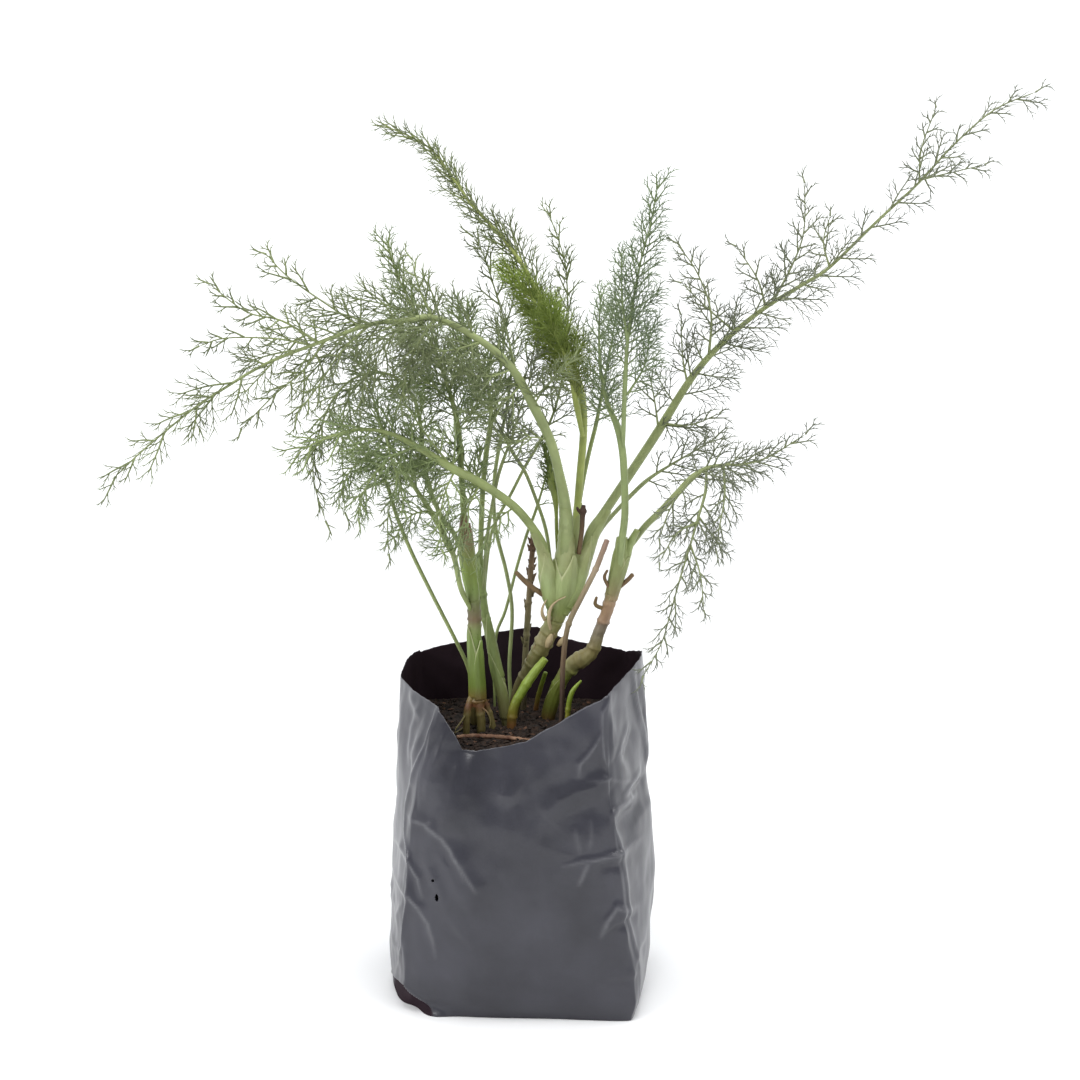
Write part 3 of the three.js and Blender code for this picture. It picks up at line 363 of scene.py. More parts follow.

# %% [markdown]
# The floor is a pale sheet of paper. It isn't part of the plant.

# %% Floor
HALF_FLOOR = 1000
paper = mottled_finish("floor_paper", 0.9, (0.89, 0.895, 0.9), (0.91, 0.91, 0.915), 2.0, 0.6, 0.002, 0.0001)
floor = make_piece("floor", HALF_FLOOR * np.array([[-1, -1, 0], [1, -1, 0], [1, 1, 0], [-1, 1, 0]]),
                   [[[0, 1, 2, 3]]], paper)
print("floor:", 2 * HALF_FLOOR, "mm wide")

# %% [markdown]
# ## Grow bag
# A nursery bag is a tube of polythene film with a gusset pushed in on each side. Filled with
# soil it swells into a soft box: the four folds stay as faint edges, the panels sag between them
# and the film creases where it is pulled. A loft through five loops gives the body, and creases
# are drawn on it afterwards as lines with a height and a width, as one would press them in.

# %% Loops of the bag
BAG_LOOPS = [
    [[-59, -33, 0], [-34, -47.5, 0], [14, -51, 0], [57, -53, 0], [63, -8, 0], [56, 38, 0], [0, 46, 0],
     [-54, 42, 0], [-70.5, 0, 0]],
    [[-62, -41, 12], [-30, -52, 12], [14, -55, 12], [59, -55, 12], [67, -5, 12], [59, 42, 12],
     [0, 50, 12], [-57, 46, 12], [-72, 3, 12]],
    [[-61, -44, 65], [-30, -58, 65], [11, -60, 65], [53, -57, 65], [71, 1, 65], [61, 46, 65],
     [0, 56, 65], [-59, 48, 65], [-70, 4, 65]],
    [[-54, -43, 125], [-30, -53, 125], [10, -56, 125], [46, -55, 125], [66, 1, 125], [60, 46, 125],
     [2, 53, 125], [-57, 47, 125], [-67, 5, 125]],
    [[-43, -42, 169.5], [-28, -47, 148], [10, -52, 157], [43.5, -52, 180], [63, 0, 185], [57, 44, 173],
     [8, 50, 185], [-56, 45, 173], [-64, 5, 170.5]],
]
# How rounded the bag is at each of the nine points: the folds are small
ROUNDED = np.array([0.35, 1, 1, 0.3, 0.9, 0.45, 1, 0.45, 0.9])
# Widths of the nine stretches between them, unrolled at mid height, from the front left fold on
STRETCHES = [34, 41, 42, 56, 46, 62, 60, 45, 49]
# Columns of points in each stretch, and rows between one loop and the next
PER_STRETCH = 42
ROWS = [16, 48, 52, 50]

# The cut edge of the film dips at the front and waves at the back: x and height
FRONT_RIM = [[-43, 170], [-40, 165.4], [-34, 155.7], [-30.5, 148.6], [-24, 148], [-9.5, 151.3],
             [2.8, 154.6], [10.9, 160], [19.6, 165.4], [26.2, 170], [32.3, 173.4], [43.5, 179.5]]
BACK_RIM = [[-56, 172], [-45, 174.6], [-30.4, 177], [-17.3, 181], [-3, 183.7], [8, 185], [16, 181],
            [22.5, 178.5], [40, 174.6], [57, 172.5]]
print("bag:", len(BAG_LOOPS), "loops,", sum(STRETCHES), "mm round at mid height")

# %% [markdown]
# The loops are rounded one by one, the last gets the cut edge's heights, and the rows between
# them rise smoothly from loop to loop. Straight rows would leave a hard belt at every loop.

# %% Loft of the bag
def bag_loop(points):
    """A closed loop through nine points, tighter at the folds."""
    p = np.asarray(points, float)
    lean = (np.roll(p, -1, 0) - np.roll(p, 1, 0)) / 2 * ROUNDED[:, None]
    w = (np.arange(PER_STRETCH) / PER_STRETCH)[None, :, None]
    return bend(p[:, None], np.roll(p, -1, 0)[:, None], lean[:, None], np.roll(lean, -1, 0)[:, None],
                w).reshape(-1, 3)


def bag_body():
    """Rows of points from the flat bottom's edge up to the rim, and where each column is."""
    loops = np.array([bag_loop(loop) for loop in BAG_LOOPS])
    column = np.arange(loops.shape[1]) / PER_STRETCH
    rim = loops[-1]
    front, back = column <= 3, (column >= 5) & (column <= 7)
    rim[front, 2] = np.interp(rim[front, 0], *np.array(FRONT_RIM).T)
    rim[back, 2] = np.interp(rim[back, 0], *np.array(BACK_RIM).T)
    rise = np.maximum(np.diff(loops[:, :, 2], axis=0), 1)[:, :, None]
    slope = np.concatenate([(loops[1:2] - loops[:1]) / rise[:1],
                            (loops[2:] - loops[:-2]) / (rise[1:] + rise[:-1]),
                            (loops[-1:] - loops[-2:-1]) / rise[-1:]])
    rows = [bend(loops[i], loops[i + 1], slope[i] * rise[i], slope[i + 1] * rise[i], step / steps)
            for i, steps in enumerate(ROWS) for step in range(steps)]
    return np.array([*rows, rim]), column


bag_rows, bag_column = bag_body()
print("bag loft:", bag_rows.shape[0], "rows of", bag_rows.shape[1], "points")

# %% [markdown]
# Each crease is a short line over the unrolled film: how far it is from the front left fold, and
# how high. A ridge catches the lamps along its top and leaves a soft shade beside it. A cloth run
# would crease the film too, but anywhere; lines put each crease where the real one is.

# %% Places of the creases
# height and width of the crease in mm, then places (distance from the front left fold, height)
CREASES = [
    (1.5, 1.1, [(-5, 170), (-2, 160), (-9, 142), (-15, 124), (-18, 112), (-13, 96), (1, 87), (4, 65),
     (-1, 47), (-15, 25), (-26, 10)]),
    (1.7, 4.0, [(17, 162), (16, 151), (13, 135), (12, 120)]),
    (1.5, 4.0, [(30, 147), (29, 136), (27, 123), (24, 105)]),
    (1.6, 2.0, [(-15, 109), (13, 108), (23, 102), (28, 96), (32, 89), (35, 80)]),
    (1.5, 1.4, [(-43, 83), (-19, 88), (2, 86), (11, 78), (15, 67)]),
    (1.6, 1.5, [(-44, 66), (-19, 68), (6, 67), (13, 62), (18, 55), (20, 46), (21, 33)]),
    (1.5, 3.0, [(11, 93), (19, 81), (23, 73), (28, 62), (33, 51), (40, 40)]),
    (1.4, 3.2, [(19, 95), (27, 86), (32, 75), (38, 67), (42, 58)]),
    (1.2, 1.8, [(28, 96), (34, 86), (42, 74)]),
    (1.6, 1.8, [(124, 181), (110, 171), (109, 159), (110, 148), (113, 141)]),
    (1.3, 4.5, [(125, 170), (122, 158), (125, 144)]),
    (1.4, 1.6, [(109, 161), (104, 154), (99, 148), (95, 144), (94, 136)]),
    (2.2, 5.0, [(111, 139), (103, 132), (92, 129), (85, 125), (76, 116)]),
    (-1.6, 4.0, [(132, 132), (110, 125), (94, 120), (82, 113)]),
    (0.9, 0.9, [(97, 135), (121, 135), (161, 120)]),
    (1.6, 1.3, [(161, 126), (148, 125), (140, 123), (133, 122)]),
    (-1.5, 2.2, [(168, 119), (153, 119), (145, 117)]),
    (1.6, 1.5, [(154, 115), (141, 117), (130, 118), (112, 116)]),
    (-1.6, 3.0, [(154, 109), (137, 110), (121, 109)]),
    (1.5, 3.0, [(172, 105), (164, 104), (150, 104), (141, 101)]),
    (1.2, 1.2, [(115, 116), (122, 108), (125, 98), (125, 89), (128, 73), (126, 59), (129, 42), (132, 26),
     (134, 0)]),
    (1.8, 1.5, [(152, 92), (137, 94), (125, 94), (107, 94), (100, 93), (93, 92), (84, 89)]),
    (-1.6, 2.2, [(128, 89), (107, 90), (98, 89)]),
    (1.3, 1.8, [(97, 93), (94, 86), (91, 78)]),
    (1.0, 2.6, [(73, 100), (83, 96), (94, 94)]),
    (0.6, 2.2, [(91, 111), (92, 103), (93, 95)]),
    (0.6, 2.2, [(99, 115), (99, 107), (97, 97)]),
    (-1.8, 2.0, [(138, 55), (122, 58), (107, 55), (100, 50)]),
    (1.6, 2.4, [(142, 59), (109, 66), (103, 59), (98, 48)]),
    (-1.0, 3.0, [(129, 25), (106, 23), (95, 20)]),
    (0.8, 2.5, [(136, 27), (107, 29), (97, 25)]),
    (1.8, 1.6, [(150, 182), (157, 164), (165, 148), (169, 133), (172, 119)]),
    (-1.6, 2.2, [(156, 181), (164, 161), (172, 143)]),
    (1.8, 1.8, [(164, 175), (172, 156), (172, 139), (172, 123)]),
    (-1.8, 4.0, [(153, 152), (145, 145), (137, 138)]),
    (1.2, 2.0, [(148, 157), (136, 151), (128, 142)]),
    (1.0, 2.5, [(54, 127), (58, 126), (62, 124)]),
    (1.2, 2.4, [(-34, 168), (-27, 163), (-18, 158)]),
    (1.0, 2.5, [(-43, 159), (-37, 139), (-35, 112)]),
    (0.9, 3.0, [(-13, 165), (-16, 154), (-21, 136)]),
    (1.2, 1.8, [(150, 186), (156, 170), (162, 148), (172, 126)]),
    (1.1, 2.4, [(160, 186), (164, 172), (171, 140)]),
    (0.9, 1.8, [(-8, 62), (-20, 50), (-30, 46)]),
    (0.8, 1.6, [(-6, 34), (-22, 30), (-40, 34)]),
    (1.0, 1.8, [(-12, 160), (-18, 140), (-12, 124)]),
    (0.9, 1.6, [(-22, 168), (-26, 150), (-22, 132)]),
    (0.9, 1.5, [(124, 30), (136, 38), (150, 36)]),
]

# %% [markdown]
# On the back and the sides the film is only pulled a little, so a seeded rule gives them a few
# soft creases. The same seed draws the same creases every time.

# %% Seeded creases
def soft_creases(seed, count, across, heights):
    """Seeded soft creases over a stretch of the film, for the sides that are only pulled a little."""
    rng = np.random.default_rng(seed)
    made = []
    for _ in range(count):
        x, z = rng.uniform(*across), rng.uniform(*heights)
        slant, length = rng.uniform(-1.2, 1.2), rng.uniform(14, 42)
        sag = rng.uniform(-5, 5)
        dx, dz = length * math.cos(slant), length * math.sin(slant)
        made.append((rng.uniform(0.5, 1.2) * rng.choice([1, 1, -1]), rng.uniform(1.6, 4.5),
                     [(x, z), (x + dx / 2 + sag, z + dz / 2), (x + dx, z + dz)]))
    return made


side_creases = soft_creases(5, 22, (180, 320), (15, 165)) + soft_creases(8, 8, (-105, -20), (15, 150))
print("creases:", len(CREASES), "placed,", len(side_creases), "seeded")

# %% [markdown]
# At each point of the film the nearest place on a crease gives its height. A crease fades out at
# both ends, and its sharp crests are marked pale, for scuffs and as painted highlight.

# %% Height of the creases
# The lee side of a crest falls off more gently. Only sharp ridges get scuffs and painted highlight.
LEE = 2.4
SHARP = 2.5


def crease_height(across, height, creases):
    """How far the film stands out at each place, and how pale its crests are painted: scuffs and highlight.
    """
    out, worn = np.zeros(across.shape), np.zeros(across.shape)
    for rise, width, places in creases:
        nearest = np.full(across.shape, 1e9)
        travelled, side = np.zeros(across.shape), np.ones(across.shape)
        total = len(places) - 1
        for i in range(total):
            (x0, z0), (x1, z1) = places[i], places[i + 1]
            dx, dz = x1 - x0, z1 - z0
            u, v = across - x0, height - z0
            t = np.clip((u * dx + v * dz) / (dx * dx + dz * dz), 0, 1)
            away = np.hypot(u - t * dx, v - t * dz)
            closer = away < nearest
            nearest = np.where(closer, away, nearest)
            travelled = np.where(closer, (i + t) / total, travelled)
            side = np.where(closer, np.sign(u * dz - v * dx), side)
        fade = np.clip(np.minimum(travelled, 1 - travelled) * 4, 0, 1) ** 0.7
        wide = np.where(side > 0, width, LEE * width)
        out += rise * (0.6 * np.exp(-nearest / wide) + 0.4 * np.exp(-(nearest / wide) ** 2)) * fade
        if rise > 0 and width < SHARP:
            # Sharp crests are painted pale: partly scuffed film, partly painted highlight.
            crest_scuff_and_highlight = np.exp(-(nearest / (0.3 * width + 0.4)) ** 2)
            worn = np.maximum(worn, crest_scuff_and_highlight * fade * min(1, rise / 1.8))
    return out, worn

# %% [markdown]
# The bottom left corner is tucked under: below a slanting lip the film steps back, and beside it
# the foot of the bag flares. All of this and the creases move the loft's points in or out.

# %% Pressed film
unrolled = np.concatenate([[0], np.cumsum(STRETCHES)])
bag_across = np.interp(bag_column, np.arange(10), unrolled)
bag_across = np.where(bag_column > 6.6, bag_across - unrolled[-1], bag_across)

# The lip of the tucked corner: distance from the front left fold, height
LIP = [(-44, 3), (-36, 7.5), (-18, 12), (-2, 14.5), (8, 10), (20, 3.5), (25, 0)]
LIP_RISE, TUCK_DEPTH = 0.9, 3.5
# No crest or dent goes further than this
CREST_LIMIT = 2.8


def outward(rows):
    """The way out of the film at each point of the loft."""
    round_it = np.roll(rows, -1, 1) - np.roll(rows, 1, 1)
    return unit(np.cross(round_it, np.gradient(rows, axis=0)))


def film_ripple(x, z):
    """Broad dents of a film that was folded, filled and handled."""
    return (noise.noise((x * 0.035, z * 0.04, 3.1)) * 1.3 + noise.noise((x * 0.08, z * 0.06, 7.7)) * 0.8
            + noise.noise((x * 0.2, z * 0.12, 5.5)) * 0.22)


def hill(x, middle, width):
    """1 at the middle, falling off on both sides."""
    return np.exp(-((x - middle) / width) ** 2)


def share_of(x, whole):
    """From 0 to 1 as x goes from nothing to the whole."""
    return np.clip(x / whole, 0, 1)


def pressed_film():
    """The loft with its creases and its tucked corner, and marks for places painted pale, for scuffs and as
    highlight, and for places in painted shade.
    """
    rows = bag_rows.copy()
    across = np.broadcast_to(bag_across, rows.shape[:2])
    height = rows[:, :, 2].copy()
    rise, worn = crease_height(across, height, CREASES + side_creases)
    ripples = np.array([[film_ripple(x, z) for x, z in zip(xs, zs)] for xs, zs in zip(across, height)])
    rise = np.tanh((rise + ripples * share_of(height, 20)) / CREST_LIMIT) * CREST_LIMIT * share_of(height, 5)
    below = np.interp(across, *np.array(LIP).T) - height
    ends = share_of(across + 44, 10) * share_of(25 - across, 3)
    tucked = share_of(below, 0.9) * ends
    lip = hill(below, -0.7, 0.8) * ends
    # The lip's crest gets the same pale mark: scuffs and painted highlight.
    worn = np.maximum(worn, 0.6 * lip * share_of(18 - across, 8))
    flare = 6 * hill(across, 22, 9) + 3 * hill(across, -14, 16)
    rise += (LIP_RISE * lip + flare * np.clip(1 - height / 8, 0, 1) ** 2
             - TUCK_DEPTH * tucked * share_of(height, 8))
    beside = rise[:-2] + rise[2:] + np.roll(rise, 1, 1)[1:-1] + np.roll(rise, -1, 1)[1:-1]
    rise[1:-1] = rise[1:-1] / 2 + beside / 8
    level = np.stack([np.ones(height.shape), np.ones(height.shape), share_of(height, 10)], -1)
    rows += outward(rows) * level * rise[:, :, None]
    rows[-1, :, 2] += [noise.noise((x * 0.3, 0, 1.7)) * 0.5 for x in bag_across]
    sway = np.array([noise.noise((x * 0.06, 5, 2.2)) for x in bag_across])
    rows[:, :, 1] += share_of(height - 150, 25) * sway[None, :] * 1.4
    return rows, worn, tucked


film_rows, film_worn, film_tucked = pressed_film()
print("pressed film:", (film_worn > 0.5).sum(), "points rubbed,", (film_tucked > 0.5).sum(), "tucked")

# %% [markdown]
# The film is one closed shell: the outside, a rim edge and the inside a little further in, and
# further still where soil hides it, so that no sharp crease can break through.

# %% Bag shell
BAG_FILM = 0.4
# Soil hides the inside below this height, where it may stand back and be coarser
HIDDEN_BELOW, STANDS_BACK = 140, 3.6
FIRST_SEEN_ROW, COARSER = 113, 8

deeper = share_of(HIDDEN_BELOW - film_rows[:, :, 2:], 8) * STANDS_BACK
film_inside = film_rows - outward(film_rows) * (BAG_FILM + deeper)
film_inside[0, :, 2] = BAG_FILM


def bag_shell():
    """Points, faces and the two marks of the whole film."""
    rings = np.concatenate([film_rows, film_inside[:FIRST_SEEN_ROW:-1],
                            film_inside[FIRST_SEEN_ROW - 1::-COARSER]])
    middles = [film_rows[0].mean(0) * [1, 1, 0], film_inside[0].mean(0) * [1, 1, 0] + [0, 0, BAG_FILM]]
    columns = rings.shape[1]
    inner = (len(rings) - len(film_rows)) * columns
    worn = np.concatenate([film_worn.ravel(), np.zeros(inner + 2)])
    # The whole rim edge is painted pale, as a painted highlight on the lit edge.
    worn[film_worn.size - columns:film_worn.size] = 1
    # The tucked pocket and the whole inside are marked shaded, which the finish paints darker as shade.
    shaded = np.concatenate([film_tucked.ravel(), np.ones(inner), [0, 1]])
    return *loft(rings, middles), worn, shaded


print("film:", BAG_FILM, "mm thick at the rim")

# %% [markdown]
# Black film isn't quite black in daylight: it is a dark slate grey with a violet tint and a soft
# sheen. Its crests, lip and rim edge are painted paler where dust and scuffs sit, and as painted
# highlight. Fine grain keeps its mirror images blurred.

# %% Film finish
film_finish, tree, shader = new_finish("black_film", 0.3)
tone = use_group(tree, mottle, (-900, 250), Dark=(0.014, 0.014, 0.02, 1), Light=(0.046, 0.046, 0.06, 1),
                 Patch_size=0.035, Contrast=0.35)
dust = use_group(tree, mottle, (-900, -20), Patch_size=0.003)
scuffed_and_highlighted = add_node(tree, "ShaderNodeAttribute", (-900, -250), attribute_name="worn")
dark = add_node(tree, "ShaderNodeAttribute", (-900, -420), attribute_name="shaded")
grit = add_node(tree, "ShaderNodeMapRange", (-780, -80), {"To Min": 0.6})
crest = add_node(tree, "ShaderNodeMath", (-620, -200), operation="MULTIPLY")
# Pale colour of the marked crests, lip and rim: scuffs and painted highlight.
pale = add_node(tree, "ShaderNodeMix", (-450, 200), data_type="RGBA")
pale.inputs[7].default_value = (0.11, 0.11, 0.122, 1)
# Painted shade: where marked shaded, the film is darker, rougher and duller.
deep = add_node(tree, "ShaderNodeMix", (-250, 200), data_type="RGBA")
deep.inputs[7].default_value = (0.024, 0.014, 0.019, 1)
matt = add_node(tree, "ShaderNodeMix", (-250, -100), {"A": 0.28, "B": 0.75})
dull = add_node(tree, "ShaderNodeMapRange", (-250, -500), {"To Min": 0.5, "To Max": 0.1})
wire(tree, (scuffed_and_highlighted, "Fac", crest, 0), (dust, "Mask", grit, "Value"), (grit, 0, crest, 1), (crest, 0, pale, 0),
     (tone, "Color", pale, 6), (dark, "Fac", deep, 0), (pale, 2, deep, 6), (deep, 2, shader, "Base Color"),
     (dark, "Fac", matt, 0), (matt, 0, shader, "Roughness"), (dark, "Fac", dull, "Value"),
     (dull, 0, shader, "Specular IOR Level"))
add_relief(tree, shader, 0.0012, 0.00012, coarse=0.7)
print("film finish:", len(tree.nodes), "nodes")

bag_points, bag_faces, bag_worn, bag_shaded = bag_shell()
bag = make_piece("grow_bag_film", bag_points, bag_faces, film_finish, worn=bag_worn, shaded=bag_shaded)

# %% [markdown]
# Two drain holes are punched at the front left, each with a round rod through the film. Dark
# spots in the finish would be flat; a real hole shows its edge and the dark behind it.

# %% Drain holes
# x, height, width and height of the hole
DRAIN_HOLES = [(-46, 79, 1.6, 1.6), (-44, 70, 1.8, 4)]
FRONT, ROD_LENGTH = -52, 24
for x, z, wide, tall in DRAIN_HOLES:
    bpy.ops.mesh.primitive_cylinder_add(vertices=14, radius=wide / 2 * MM, depth=ROD_LENGTH * MM,
                                        location=(x * MM, FRONT * MM, z * MM),
                                        rotation=(math.pi / 2, 0, 0))
    punch = bpy.context.object
    punch.scale = (1, tall / wide, 1)
    bpy.ops.object.transform_apply(scale=True, rotation=True, location=True)
    cut = bag.modifiers.new("cut", "BOOLEAN")
    cut.operation = "DIFFERENCE"
    cut.solver = "EXACT"
    cut.object = punch
    bpy.context.view_layer.objects.active = bag
    bpy.ops.object.modifier_apply(modifier=cut.name)
    bpy.data.objects.remove(punch)
dress(bag, "bag_film", "grow_bag")

# %% [markdown]
# ## Potting soil
# Potting mix is bark, peat and a few pale bits. One closed body fills the bag up to just under
# the rim, and loose crumbs of many sizes lie on it, because the crumbs at the edge are what tells
# the eye that it is soil.

# %% Soil surface
SOIL_EDGE, SOIL_RISE, SOIL_CLOD = 143.5, 3, 0.9
# Heights of the loops under the surface, and how far each keeps off the film
SOIL_LOOPS = [(1.2, 6), (14, 5), (30, 3), (125, 3), (141, 2.5)]


def soil_height(x, y):
    """The packed soil's top: a low mound with clods."""
    away = np.minimum(1, np.hypot(x / 60, y / 48))
    clods = np.sin(x * 0.42 + 1) * np.cos(y * 0.5) + 0.6 * np.sin(x * 0.19 - y * 0.27)
    return SOIL_EDGE + SOIL_RISE * (1 - away**2) + SOIL_CLOD * clods * (1 - away**4)


def film_loop_at(height, inset):
    """The inside of the film at a height, moved in."""
    loop = np.array([[np.interp(height, film_inside[:, j, 2], film_inside[:, j, k]) for k in (0, 1)]
                     for j in range(0, film_inside.shape[1], 3)])
    middle = loop.mean(0)
    loop = middle + (loop - middle) * (1 - inset / np.linalg.norm(loop - middle, axis=1)[:, None])
    return np.column_stack([loop, np.full(len(loop), height)])


def soil_body():
    """The soil as one skin, with small lumps on top."""
    loops = [film_loop_at(height, inset) for height, inset in SOIL_LOOPS]
    edge = film_loop_at(SOIL_EDGE, 0.5)
    for share in np.linspace(1, 0.02, 44):
        ring = edge * [share, share, 1]
        ring[:, 2] = soil_height(ring[:, 0], ring[:, 1])
        ring[:, 2] += [noise.noise((x * 0.35, y * 0.35, 4.0)) * 0.8
                       + noise.noise((x * 0.9, y * 0.9, 9.0)) * 0.4 for x, y in ring[:, :2]]
        loops.append(ring)
    return loft(loops, [loops[0].mean(0), loops[-1].mean(0)])


print(f"soil in the middle: {soil_height(0, 0):.1f} mm high")

# %% [markdown]
# Crumbs are strewn by a seed all over the surface, sunk half in. The same rule makes the flat
# bits of bark. Particles could strew them too, but as points in one array they join the soil's
# own mesh.

# %% Crumbs and bits
def turned(a, b, angle):
    """Two coordinates turned in their plane by an angle each."""
    return a * np.cos(angle) - b * np.sin(angle), a * np.sin(angle) + b * np.cos(angle)


def crumbs(count, seed, size, flatness):
    """Small lumps that lie on the soil, each an uneven eight-faced stone."""
    rng = np.random.default_rng(seed)
    edge = film_loop_at(SOIL_EDGE, 1.5)[:, :2]
    pick = edge[rng.integers(len(edge), size=count)]
    place = pick * np.sqrt(rng.uniform(0, 1, (count, 1)))
    lump = np.array([[1, 0, 0], [0, 1, 0], [-1, 0, 0], [0, -1, 0], [0, 0, 1], [0, 0, -1]], float)
    scale = rng.uniform(*size, (count, 1, 1)) * rng.uniform(0.6, 1.3, (count, 6, 1))
    points = lump[None] * scale * [1, 1, flatness]
    spin, tip = rng.uniform(0, 2 * math.pi, count), rng.uniform(-0.7, 0.7, count)
    x, y, z = points[..., 0], points[..., 1], points[..., 2]
    x, z = turned(x, z, tip[:, None])
    x, y = turned(x, y, spin[:, None])
    height = soil_height(place[:, 0], place[:, 1]) + scale[:, 0, 0] * flatness * 0.5
    points = np.stack([x, y, z], -1) + np.column_stack([place, height])[:, None]
    shell = np.array([[0, 1, 4], [1, 2, 4], [2, 3, 4], [3, 0, 4], [1, 0, 5], [2, 1, 5], [3, 2, 5], [0, 3, 5]])
    faces = (np.arange(count) * 6)[:, None, None] + shell[None]
    return points.reshape(-1, 3), [faces.reshape(-1, 3)]


soil_finish = mottled_finish("potting_mix", 0.95, (0.008, 0.005, 0.004), (0.04, 0.022, 0.014), 0.0035, 0.7,
                             0.0006, 0.0006, 1.0, 0.5)
soil = gather([soil_body(), crumbs(1500, 21, (0.5, 1.5), 0.7)])
dress(make_piece("soil_surface", *soil, soil_finish, smooth=False), "potting_soil", "potting_soil")

bark_finish = mottled_finish("bark_bits", 0.9, (0.04, 0.018, 0.01), (0.16, 0.08, 0.045), 0.006, 0.7,
                             0.0005, 0.0003, 1.0, 0.3)
dress(make_piece("bark_bits", *crumbs(150, 22, (0.8, 2.0), 0.35), bark_finish, smooth=False), "potting_soil")

# %% [markdown]
# ## Stems
# Five stems come up through the soil. A fennel stem is ringed where old leaves were, brown and
# scaly at its foot, and green and finely ribbed above. Each branch is a route with a radius;
# fine ribs and rings are added around it, and the colour follows the height.

# %% Stem tools
def shoot(route, sides=18, ribs=0, depth=0.05, rings=(), rough=0.04):
    """One branch: x, y, z, radius along it. Rings are (height, rise, width) in mm."""
    route = np.asarray(route, float)
    length = np.linalg.norm(np.diff(route[:, :3], axis=0), axis=1).sum()
    line = smooth_line(route, max(8, int(length * 1.6)))
    turn = np.arange(sides) * 2 * math.pi / sides
    shape = 1 + depth * np.cos(ribs * turn)[None, :] if ribs else np.ones((1, sides))
    radii = np.maximum(line[:, 3:4], 0.3) * shape
    for height, rise, width in rings:
        radii = radii + rise * np.exp(-((line[:, 2:3] - height) / width) ** 2)
    wobble = [[noise.noise((x * 0.5, z * 0.35, math.sin(t) + y * 0.5)) for t in turn]
              for x, y, z in line[:, :3]]
    radii = radii * (1 + rough * np.array(wobble) * 2)
    return round_lines(line[None, :, :3], radii[None], sides)


def scales(route, count, seed, length, spread):
    """Papery scales that stand off a stem, the remains of old leaf feet."""
    rng = np.random.default_rng(seed)
    line = smooth_line(route, 60)
    pick = rng.integers(4, 56, count)
    along = unit(np.gradient(line[:, :3], axis=0))[pick]
    out = unit(np.cross(along, unit(rng.normal(size=(count, 3)))))
    size = rng.uniform(*length, count)[:, None]
    root = line[pick, :3] + out * line[pick, 3:4] * 0.8
    middle = root + (along * 0.9 + out * spread * 0.5) * size * 0.5
    tip = root + (along * 0.9 + out * spread) * size
    lines = np.stack([root, middle, (middle + tip) / 2 + out * 0.2, tip], 1)
    flat = np.array([1, 0.35] * 3)[None, None, :]
    radii = np.outer(size[:, 0], [0.28, 0.24, 0.14, 0.05])[:, :, None] * flat
    return round_lines(lines, np.maximum(radii, 0.12), 6)


def clasp(route, low, high, facing, span, lift=0.6, thick=0.45):
    """The foot of a leaf wrapped round a stem: wide below, narrowing to a tip, with free edges.
    It goes from one height to another and is marked at its edges."""
    line = smooth_line(route, 120)
    t = np.linspace(0, 1, 44)
    line = np.array([np.interp(low + (high - low) * t, line[:, 2], line[:, k]) for k in range(4)]).T
    along = unit(np.gradient(line[:, :3], axis=0))
    half = math.radians(span) / 2 * (1 - 0.93 * np.clip((t - 0.25) / 0.75, 0, 1) ** 1.5)
    half *= 0.82 + 0.18 * share_of(t, 0.2)
    across = np.linspace(-1, 1, 22)
    angle = math.radians(facing) + half[:, None] * across[None, :]
    way = np.stack([np.cos(angle), np.sin(angle), np.zeros_like(angle)], -1)
    way = unit(way - (way * along[:, None]).sum(-1, keepdims=True) * along[:, None])
    edge = np.abs(across)[None, :]
    body = line[:, 3:4] + lift * t[:, None] ** 2 + thick * (1 - edge**6) + 0.12 * np.cos(11 * angle)
    outer = line[:, None, :3] + way * body[..., None]
    inner = line[:, None, :3] + way * (body - thick * (1 - 0.7 * edge**6) - 0.15)[..., None]
    mark = share_of(edge - 0.8, 0.2) * np.ones((len(t), 1))
    return (*loft(np.concatenate([outer, inner[:, ::-1]], axis=1)),
            np.concatenate([mark, mark[:, ::-1]], axis=1).ravel())

# %% [markdown]
# All stems change colour with height, so the height is a node group of its own. A second group
# lays long dark patches over that colour and a pale tone over the free edges.

# %% Height and stem skin
height_share, given, made = new_group("height_share", {"Low": 0.0, "High": 1.0}, {"Share": "Float"})
where = add_node(height_share, "ShaderNodeTexCoord", (-600, 0))
split = add_node(height_share, "ShaderNodeSeparateXYZ", (-400, 0))
level = add_node(height_share, "ShaderNodeMapRange", (-200, 0))
wire(height_share, (where, "Object", split, 0), (split, "Z", level, "Value"),
     (given, "Low", level, "From Min"), (given, "High", level, "From Max"), (level, 0, made, "Share"))

stem_skin, given, made = new_group("stem_skin", {"Tint": (1, 1, 1, 1), "Spots": (1, 1, 1, 1), "Border": 0.0},
                                   {"Color": "Color"})
patches = use_group(stem_skin, mottle, (-580, -80), Patch_size=0.006, Stretch=0.24, Contrast=0.6)
shade = add_node(stem_skin, "ShaderNodeMix", (-250, 150), {0: 0.85}, data_type="RGBA",
                 blend_type="MULTIPLY")
edge = add_node(stem_skin, "ShaderNodeMix", (-80, 150), {7: (0.48, 0.5, 0.28, 1)}, data_type="RGBA")
wire(stem_skin, (given, "Tint", shade, 6), (given, "Spots", patches, "Dark"), (patches, "Color", shade, 7),
     (given, "Border", edge, 0), (shade, 2, edge, 6), (edge, 2, made, "Color"))
print("node groups:", height_share.name, "and", stem_skin.name)


